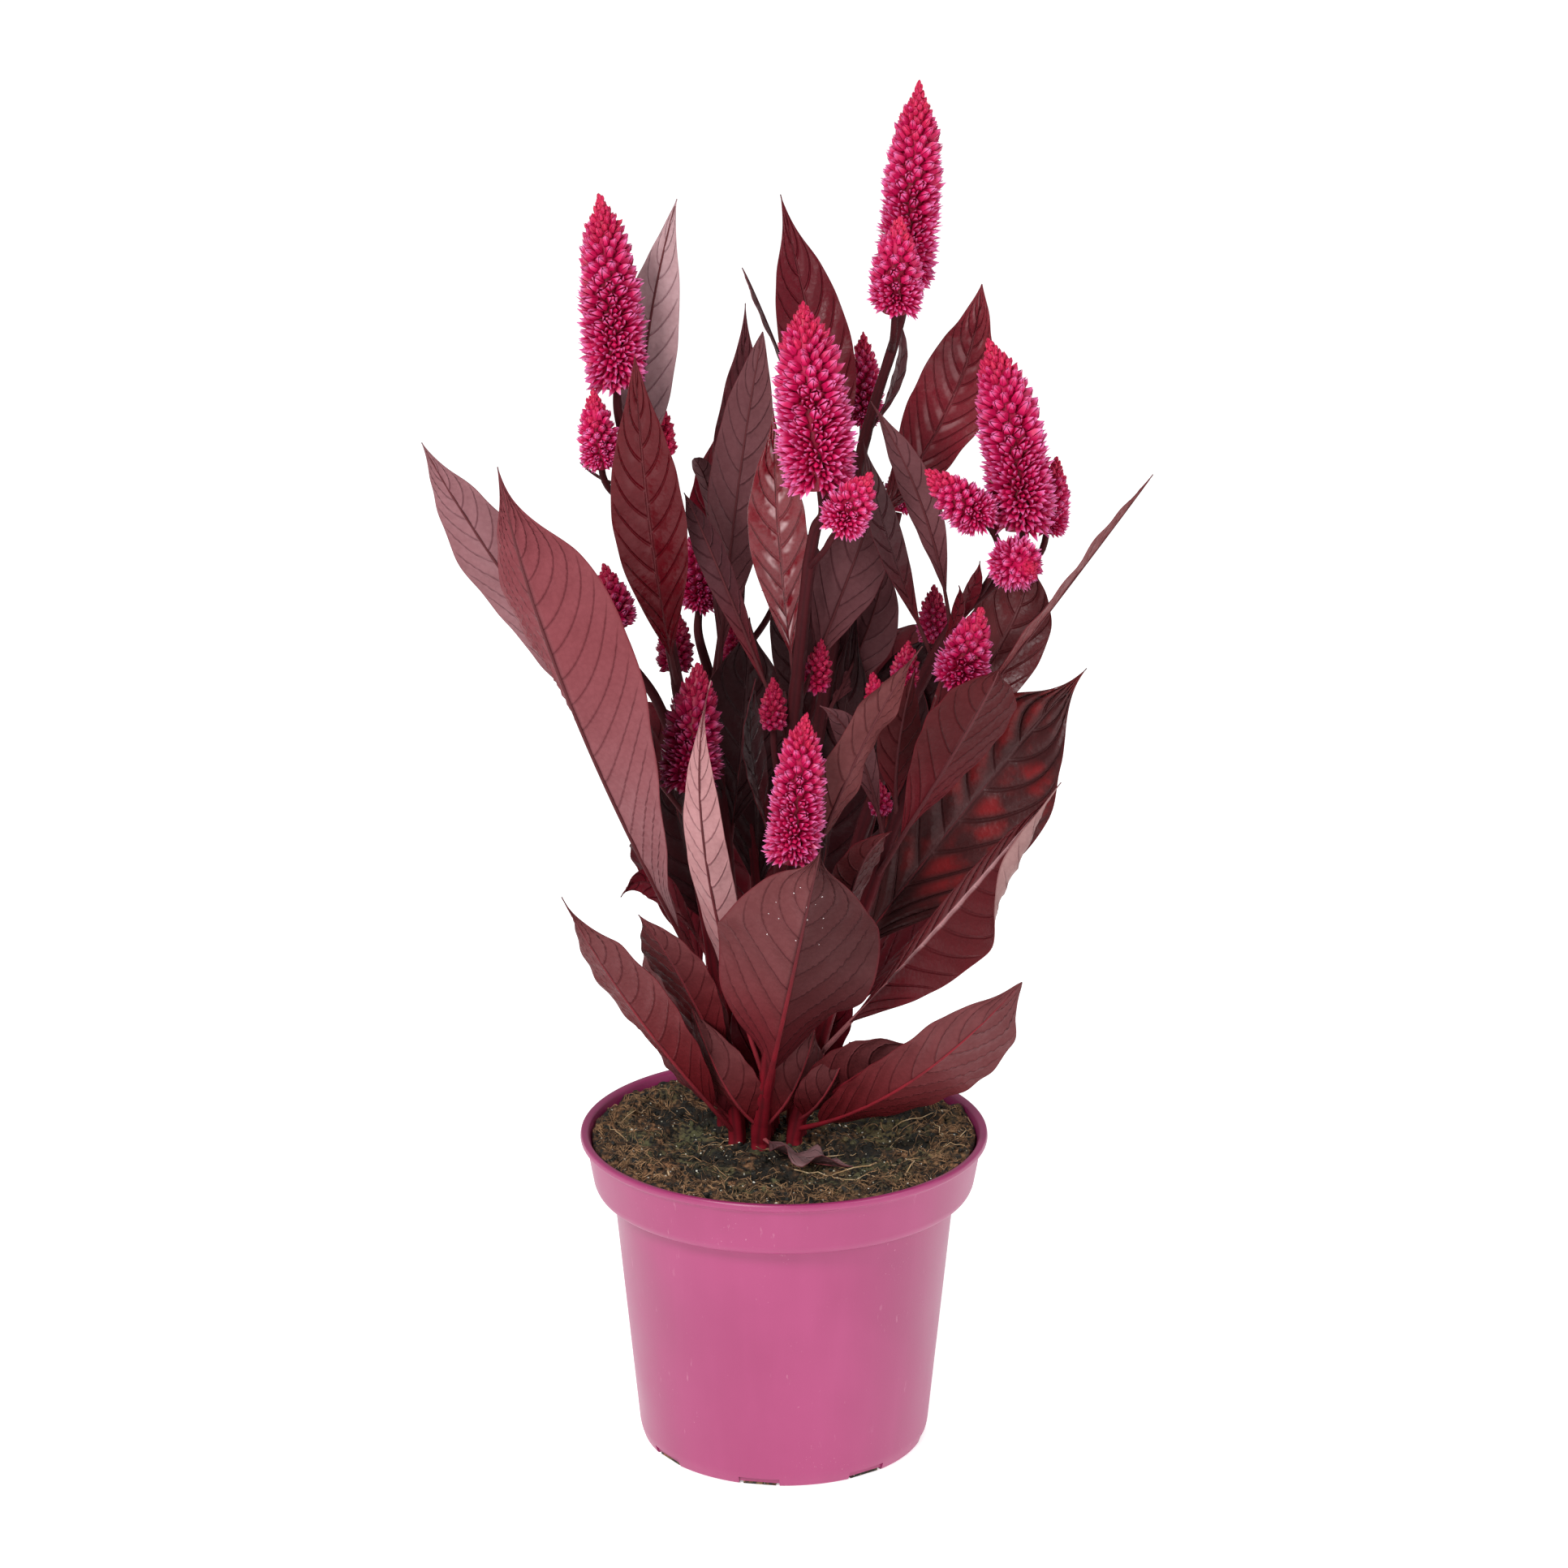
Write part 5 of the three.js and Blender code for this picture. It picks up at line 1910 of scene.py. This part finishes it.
PLANT = (
    LeafyStem(
        "tall", (-4, 15), 2.9, [(3, 18, 166), (14, 20, 238), (22, 19, 295)],
        Spike((34, 18, 344), (38, 20, 402), 8.2),
        sides=[(325, Spike((31, 1, 340), (32, -2, 368), 7.8, youth=0.2))],
        leaves=[
            Leaf(282, (10, 28, 321), (-1, 34, 367), 21, (0.1, -1, 0.3), fold=14, tone=Tone.WINE),
            Leaf(272, (-2, 35, 322), (-12, 38, 345), 10, (-1, 0.1, 0.4), fold=12, tone=Tone.DUSK),
            Leaf(
                264, (46, 26, 304), (56, 20, 344), 24, (-0.2, -1, 0.2),
                point=1.0, tail=0.1, fold=26, wave=6, tone=Tone.RED, veins=6.5,
            ),
            Leaf(299, (32, 24, 316), (33, 28, 333), 6, (1, -0.6, 0.2), tone=Tone.DUSK),
            Leaf(213, (23, 21, 239), (30, 26, 263), 17, (0.2, 1, 0.2), fold=14, tone=Tone.DUSK),
            Leaf(214, (4, 42, 250), (-3, 58, 268), 18, (0.2, -0.6, 1), fold=12, tone=Tone.SOOT),
        ],
    ),
    LeafyStem(
        "centre", (-6, 6), 3.1, [(-2, -1, 156), (3.4, -14, 234), (8.6, -26, 284)],
        Spike((10, -30, 297), (5, -26, 349), 10.4),
        sides=[
            (272, Spike((15, -39, 288), (24, -43, 305), 7, youth=0.1)),
            (205, Spike((9, -7, 232.5), (10.7, -10, 248), 4.3, youth=0.75, painted_shade=0.35)),
            (196, Spike((-3, -15, 223.5), (-3, -17, 239), 4.0, youth=0.75, painted_shade=0.5)),
        ],
        leaves=[
            Leaf(
                234, (-1, -17, 276), (-3, -14, 316), 17, (-0.1, -1, 0.2),
                fold=22, tone=Tone.GLOSSY, veins=8.0,
            ),
            Leaf(216, (-18, -9, 267), (-28, -11, 291), 9, (-0.5, 1, 0.3), fold=24, tone=Tone.SOOT),
            Leaf(226, (17, -6, 262), (28, -2, 292), 20, (0, 1, 0.3), base=1.9, fold=10, tone=Tone.DUSK),
            Leaf(178, (-9, -6, 210), (-8, -8, 236), 10, (1, -0.8, 0.3), fold=18, tone=Tone.SOOT),
            Leaf(98, (-2, 5, 130), (6, 6, 168), 28, (0.1, -1, 0.3), base=0.6, fold=12, tone=Tone.WINE),
        ],
    ),
    LeafyStem(
        "left", (-13, 11), 2.7, [(-20, 7, 155), (-29, 2, 222), (-39, -3, 279)],
        Spike((-46.8, -5, 320), (-51, -5, 375), 8.7, (1.0, 0, 0), painted_shade=0.08),
        sides=[
            (283, Spike((-51, -13, 299), (-53, -16, 322), 6, youth=0.3)),
            (279, Spike((-34.6, 7, 297), (-35, 9, 313), 4.2, youth=0.9)),
        ],
        leaves=[
            Leaf(
                228, (-37, -16, 279), (-41, -25, 333), 21, (0, -1, 0.2),
                point=1.05, tail=0.1, fold=16, tone=Tone.BURGUNDY,
            ),
            Leaf(
                292, (-38, 8, 333), (-30, 15, 369.3), 17.5, (0.3, 1, 0.2),
                peak=0.34, point=1.2, base=0.3, tail=0.1, fold=16, tone=Tone.GREY,
            ),
            Leaf(291, (-50, -9, 294), (-57, -12, 300), 3, (0, 0, 1), tone=Tone.BROWN),
            Leaf(185, (-73, -12, 259), (-100, -26, 309), 24, (0.3, 1, 0.3), fold=12, wave=5, tone=Tone.MAUVE),
        ],
    ),
    LeafyStem(
        "right", (4, 9), 2.8, [(15, 1, 161), (33, -3, 219), (50, -6, 254)],
        Spike((67, -6, 279), (57, 0, 333), 9.6, (4, 0, 0)),
        sides=[
            (266, Spike((56, -12, 283), (39, -20, 300), 7, youth=0.2)),
            (268, Spike((75, 13, 273), (78, 17, 295), 6, youth=0.3)),
            (259, Spike((63, -19, 273), (69, -36, 276), 7.5)),
            (236, Spike((43, 8, 242), (43, 10, 259), 5, youth=0.5, painted_shade=0.6)),
        ],
        leaves=[
            Leaf(250, (39, -8, 286), (24, -14, 318), 11, (0.4, 1, 0.3), fold=10, tone=Tone.DUSK),
            Leaf(241, (30, -10, 275), (22, -14, 307), 9, (0.3, -1, 0.3), fold=14, tone=Tone.SOOT),
            Leaf(190, (60, 12, 236), (70, 18, 264), 25, (-0.1, -1, 0.4), fold=10, wave=4, tone=Tone.BROWN),
            Leaf(
                134, (50, -8, 194), (85.5, -15, 241), 43, (-0.3, -1, 0.3),
                tail=0.7, fold=10, wave=7, tone=Tone.BLOTCHED, veins=12.5,
            ),
            Leaf(244, (52, -10, 260), (55, -14, 272), 5, (0.2, -1, 0.3), fold=20, tone=Tone.WINE),
            Leaf(242, (49, -12, 256), (49, -18, 266), 4, (-0.3, -1, 0.3), fold=20, tone=Tone.WINE),
        ],
    ),
    LeafyStem(
        "front", (-7, -2), 3.0, [(-3, -28, 140), (0, -50, 178)],
        Spike((2, -59, 198), (6, -58, 241), 7.5, painted_shade=0.12),
        leaves=[
            Leaf(
                106, (3, -53, 165), (10, -80, 209), 49, (0.1, 1, 0.5),
                peak=0.44, point=1.5, base=0.72, fold=24, wave=8, painted_half_shade=0.5, tone=Tone.ROSE, rib=0.0,
                drops=14,
            ),
            Leaf(
                116, (-22, -41, 194), (-20, -58, 250), 14, (0.4, 1, 0.3),
                peak=0.34, point=1.7, tail=0.7, twist=30, crumple=1.8, tone=Tone.BLUSH,
            ),
            Leaf(
                168, (19, -47, 222), (38, -52, 258), 16, (-0.7, 1, 0.3),
                peak=0.42, tail=0.75, fold=22, wave=12, roll=-150, twist=-25, painted_half_shade=-0.3, crumple=1.8,
                tone=Tone.TAN,
            ),
            Leaf(
                95, (4, -16, 93), (20, -22, 92.5), 15, (0, 0.3, 1),
                fold=20, wave=22, crumple=3.0, tone=Tone.WITHERED, rib=0.3,
            ),
            Leaf(
                98, (-17, -13, 114), (-27, -19, 142), 22, (0.5, 0.8, 0.5),
                base=0.6, tail=0.3, fold=22, tone=Tone.RUSSET,
            ),
            Leaf(97, (3, -12, 113), (9, -16, 134), 18, (-0.4, 0.9, 0.4), base=0.6, fold=24, tone=Tone.RUSSET),
        ],
    ),
    LeafyStem(
        "shade", (-14, 3), 2.6, [(-22, -13, 162)],
        Spike((-27, -22, 207), (-24, -18, 244), 8.4, youth=0.1, painted_shade=0.66),
        leaves=[
            Leaf(
                138, (-58, -36, 233), (-78, -46, 307), 43, (0.64, 0.74, 0.22),
                peak=0.5, base=0.95, tail=0.6, skew=0.12, fold=34, twist=115, tone=Tone.PALE, veins=8.7,
            ),
            Leaf(
                93, (-41, -30, 141), (-62, -51, 185), 27, (0.6, 0.8, 0.4),
                base=0.7, tail=0.85, fold=24, tone=Tone.RUSSET,
            ),
            Leaf(150, (-36, -5, 172), (-47, -10, 171), 9, (0.1, -1, 0.5), fold=20, tone=Tone.WINE),
            Leaf(
                112, (-29, -28, 152), (-41, -40, 176), 19, (0.5, 1, 0.4),
                base=0.6, fold=12, tone=Tone.RUSSET,
            ),
            Leaf(
                98, (-29, -8, 138), (-36, -16, 161), 27, (0.6, 0.8, 0.3),
                base=0.55, fold=12, tone=Tone.ROSE,
            ),
            Leaf(96, (-27, -5, 116), (-38, -9, 138), 24, (0.5, 0.8, 0.4), base=0.6, fold=16, tone=Tone.WINE),
        ],
    ),
    LeafyStem(
        "bud_left", (-18, 17), 2.3, [(-27, 17, 189), (-37, 20, 221)],
        Spike((-48, 20, 243), (-52, 22, 262), 6.4, youth=0.4, painted_shade=0.45),
        leaves=[
            Leaf(165, (-48, 42, 205), (-66, 56, 216), 24, (0.7, -0.4, 1), fold=12, tone=Tone.WINE),
            Leaf(125, (-34, 42, 158), (-40, 64, 160), 26, (0.6, -0.5, 1), fold=14, tone=Tone.WINE),
        ],
    ),
    LeafyStem(
        "back_left", (-11, 21), 2.6, [(-16, 28, 160), (-21, 34, 220)],
        Spike((-25, 41, 243), (-24, 42, 272), 6.4, youth=0.3, painted_shade=0.2),
        sides=[
            (200, Spike((-32, 24, 229), (-31, 26, 247), 5.6, youth=0.5, painted_shade=0.8)),
            (200, Spike((-14, 44, 225), (-14, 47, 240), 5, youth=0.5, painted_shade=0.6)),
        ],
        leaves=[
            Leaf(
                214, (-14, 19, 278), (-6, 12, 332), 18, (0.2, 1, 0.2),
                point=0.8, tail=0.15, fold=12, twist=14, tone=Tone.DUSK,
            ),
            Leaf(220, (-14, 31, 282), (-11, 27, 337), 17, (0.3, -1, 0.3), fold=16, tone=Tone.DUSK),
            Leaf(
                205, (-19, 35, 262), (-26, 34, 290), 6.5, (0.5, 1, 0.2),
                peak=0.88, point=0.5, tail=0.0, tone=Tone.DUSK,
            ),
            Leaf(140, (-38, 62, 189), (-52, 77, 199), 28, (0.3, -0.6, 1), fold=12, wave=5, tone=Tone.WINE),
            Leaf(170, (-12, 30, 208), (-10, 28, 244), 27, (0, -1, 0.3), fold=14, tone=Tone.SHADOW),
            Leaf(140, (-28, 15, 176), (-33, 13, 208), 24, (0.1, -1, 0.3), fold=14, tone=Tone.SHADOW),
        ],
    ),
    LeafyStem(
        "low_right", (3, 0), 2.6, [(26, -15, 179), (42, -28, 226)],
        Spike((48, -32, 241), (55, -36, 265), 7.8, youth=0.1, painted_shade=0.2),
        sides=[
            (172, Spike((28, -8, 195.5), (27, -10, 206.5), 3.4, youth=0.5, painted_shade=0.6)),
            (212, Spike((33.5, -21, 237), (35, -21, 251), 4.3, youth=0.75, painted_shade=0.4, extra=True)),
            (200, Spike((26.5, -22, 231), (25, -22, 242), 3.6, youth=0.95, painted_shade=0.2, extra=True)),
        ],
        leaves=[
            Leaf(178, (49, -46, 229), (59, -54, 252), 28, (-0.5, 1, 0.3), fold=12, tone=Tone.BROWN),
            Leaf(198, (32, -32, 222), (36.5, -38, 248), 12, (-0.2, 1, 0.2), fold=14, tone=Tone.BROWN),
            Leaf(188, (21, -34, 222), (10, -37, 236.5), 9, (0.2, 0.8, -0.5), fold=16, tone=Tone.DUSK),
            Leaf(205, (77, -26, 265), (103, -14, 297), 15, (-0.7, 0.2, 0.7), fold=16, tone=Tone.TAN),
            Leaf(
                119, (46, -38, 175), (77, -46, 217), 23, (-0.3, -0.8, 0.5),
                tail=0.75, skew=-0.68, fold=18, wave=5, roll=-150, tone=Tone.CURLED, rib=0.8,
            ),
            Leaf(150, (20, -42, 187), (30, -50, 204), 16, (-0.5, 1, 0.3), fold=14, tone=Tone.BROWN),
            Leaf(
                96, (35, -32, 122), (67, -46, 158), 34, (-0.3, 1, 0.4),
                peak=0.55, point=0.7, base=0.5, tail=0.55, skew=0.25, fold=14, tone=Tone.RUSSET, rib=0.0,
            ),
            Leaf(
                99, (12, -14, 112), (19, -19, 130), 18, (-0.4, 0.9, 0.4),
                base=0.6, fold=20, tone=Tone.RUSSET,
            ),
            Leaf(
                97, (21, -17, 119), (40, -28, 132), 26, (-0.3, 1, 0.4),
                peak=0.5, point=0.9, base=0.5, fold=10, tone=Tone.RUSSET, rib=0.0,
            ),
        ],
    ),
    LeafyStem(
        "back", (3, 19), 2.6, [(8, 35, 160), (18, 44, 240)],
        Spike((23, 46, 297), (23, 49, 324), 6, youth=0.3),
        sides=[(250, Spike((34, 58, 268), (37, 62, 286), 5.4, youth=0.4, painted_shade=0.3))],
        leaves=[
            Leaf(236, (20, 66, 268), (14, 80, 285), 17, (0.1, -0.8, 0.6), fold=12, tone=Tone.WINE),
            Leaf(180, (36, 64, 218), (53, 75, 224), 26, (-0.4, -0.6, 1), fold=12, wave=5, tone=Tone.WINE),
            Leaf(125, (30, 61, 163), (43, 75, 164), 32, (-0.3, -0.5, 1), fold=12, wave=6, tone=Tone.SOOT),
            Leaf(106, (42, 34, 146), (60, 46, 150), 30, (-0.6, -0.3, 1), fold=14, wave=5, tone=Tone.WINE),
            Leaf(150, (28, 30, 200), (36, 28, 236), 28, (-0.4, -1, 0.4), fold=10, tone=Tone.SHADOW),
            Leaf(135, (14, 23, 186), (21, 20, 250), 28, (-0.1, -1, 0.3), fold=12, tone=Tone.SHADOW),
            Leaf(182, (33, 32, 216), (46, 30, 241), 20, (-0.3, -1, 0.3), fold=12, tone=Tone.SHADOW),
            Leaf(99, (10, 12, 124), (16, 10, 150), 20, (-0.3, -1, 0.3), base=0.6, fold=12, tone=Tone.WINE),
            Leaf(192, (3, 26, 232), (1, 22, 268), 13, (0, -1, 0.3), fold=16, tone=Tone.SHADOW),
        ],
    ),
    LeafyStem(
        "far_back", (-5, 26), 2.5, [(-8, 46, 150), (-14, 58, 215)],
        Spike((-13, 62, 256), (-14, 64, 292), 8, youth=0.1),
        sides=[(222, Spike((-2, 66, 240), (4, 72, 256), 5.2, youth=0.4))],
        leaves=[
            Leaf(218, (-20, 72, 260), (-20, 79, 287), 17, (0.3, -0.8, 0.5), fold=14, tone=Tone.WINE),
            Leaf(165, (-8, 72, 205), (-8, 80, 211), 26, (0, -0.8, 1), fold=12, wave=5, tone=Tone.RED),
            Leaf(110, (-10, 66, 155), (-12, 80, 156), 34, (0, -0.5, 1), fold=12, wave=6, tone=Tone.WINE),
            Leaf(140, (-8, 52, 188), (-6, 50, 226), 30, (0.1, -1, 0.4), fold=10, tone=Tone.SHADOW),
        ],
    ),
)


# ---------------------------------------------------------------- the studio


@dataclass(frozen=True)
class Lamp:
    """A square area light that looks at the plant.

    Args:
        name: its name.
        place: where it stands, in metres.
        size: the length of its sides, in metres.
        power: its strength, in watts.
    """

    name: str
    place: Point
    size: float
    power: float

    def hang(self, target: Vector) -> None:
        """Adds the light.

        Args:
            target: the place that it is turned towards.
        """
        data = bpy.data.lights.new(self.name, "AREA")
        data.size = self.size
        data.energy = self.power
        light = bpy.data.objects.new(self.name, data)
        light.location = self.place
        light.rotation_euler = (target - Vector(self.place)).to_track_quat("-Z", "Y").to_euler()
        bpy.context.scene.collection.objects.link(light)


@dataclass
class Studio:
    """A plain pale floor, soft light from all sides, and the camera.

    Args:
        elevation: the camera's height above the horizontal, in degrees.
        distance: from the camera to its target, in metres.
        target: the height that it looks at, in metres.
        view: its field of view, in degrees.
        floor_size: the length of the floor's sides, in metres.
        floor_glow: how strongly the floor shines, which keeps it even.
        surround: how strong the light from all sides is.
    """

    elevation: float = 17.5
    distance: float = 1.4
    target: float = 0.202
    view: float = 18.31
    floor_size: float = 30.0
    floor_glow: float = 0.76
    surround: float = 0.36

    LAMPS = (
        Lamp("key", (-0.75, -1.3, 1.45), 0.5, 24.0),
        Lamp("glint", (-0.5, -1.45, 0.6), 0.2, 4.0),
        Lamp("fill", (1.3, -0.9, 0.9), 0.7, 8.0),
    )

    def build(self) -> None:
        """Sets the floor, the light and the camera."""
        self._set_floor()
        self._set_light()
        self._set_camera()
        bpy.context.scene.view_settings.view_transform = "Standard"

    def _set_floor(self) -> None:
        """A wide pale floor that glows evenly, with a painted shadow: no glow in the spot under the pot's
        foot.
        """
        bm = bmesh.new()
        bmesh.ops.create_grid(bm, x_segments=1, y_segments=1, size=self.floor_size / 2)
        mesh = bpy.data.meshes.new("floor")
        bm.to_mesh(mesh)
        bm.free()
        shader = Shader("floor_paint")
        shader.surface(
            Base_Color=(0.85, 0.85, 0.85),
            Roughness=0.9,
            Specular_IOR_Level=0.1,
            # painted shadow: the glow fades out under the pot's foot
            Emission_Color=shader.mix(shader.distance().smooth(36, 44), (0.0, 0.0, 0.0), (1.0, 1.0, 1.0)),
            Emission_Strength=self.floor_glow,
        )
        mesh.materials.append(shader.material)
        floor = bpy.data.objects.new("floor", mesh)
        bpy.context.scene.collection.objects.link(floor)

    def _set_light(self) -> None:
        """A bright surround, and the lamps: a broad key light, a weaker fill and a small low glint."""
        world = bpy.data.worlds.new("surround")
        world.use_nodes = True
        background = world.node_tree.nodes["Background"]
        background.inputs["Color"].default_value = (1.0, 1.0, 1.0, 1.0)
        background.inputs["Strength"].default_value = self.surround
        bpy.context.scene.world = world
        for lamp in self.LAMPS:
            lamp.hang(Vector((0, 0, self.target)))

    def _set_camera(self) -> None:
        """The camera, in front of the plant and a little above it."""
        data = bpy.data.cameras.new("camera")
        data.sensor_fit = "HORIZONTAL"
        data.angle = math.radians(self.view)
        camera = bpy.data.objects.new("camera", data)
        rise = math.radians(self.elevation)
        target = Vector((0, 0, self.target))
        camera.location = target + Vector((0, -math.cos(rise), math.sin(rise))) * self.distance
        camera.rotation_euler = (math.pi / 2 - rise, 0, 0)
        bpy.context.scene.collection.objects.link(camera)
        bpy.context.scene.camera = camera


def main() -> None:
    """Builds the studio, the pot, the peat and the plant."""
    logging.basicConfig(level=logging.INFO, format="%(name)s %(message)s")
    Studio().build()
    pot = Pot()
    pot.build()
    Peat(pot).build()
    florets = FloretSet()
    for stem in PLANT:
        stem.build(florets)
    florets.clear()


if __name__ == "__main__":
    main()
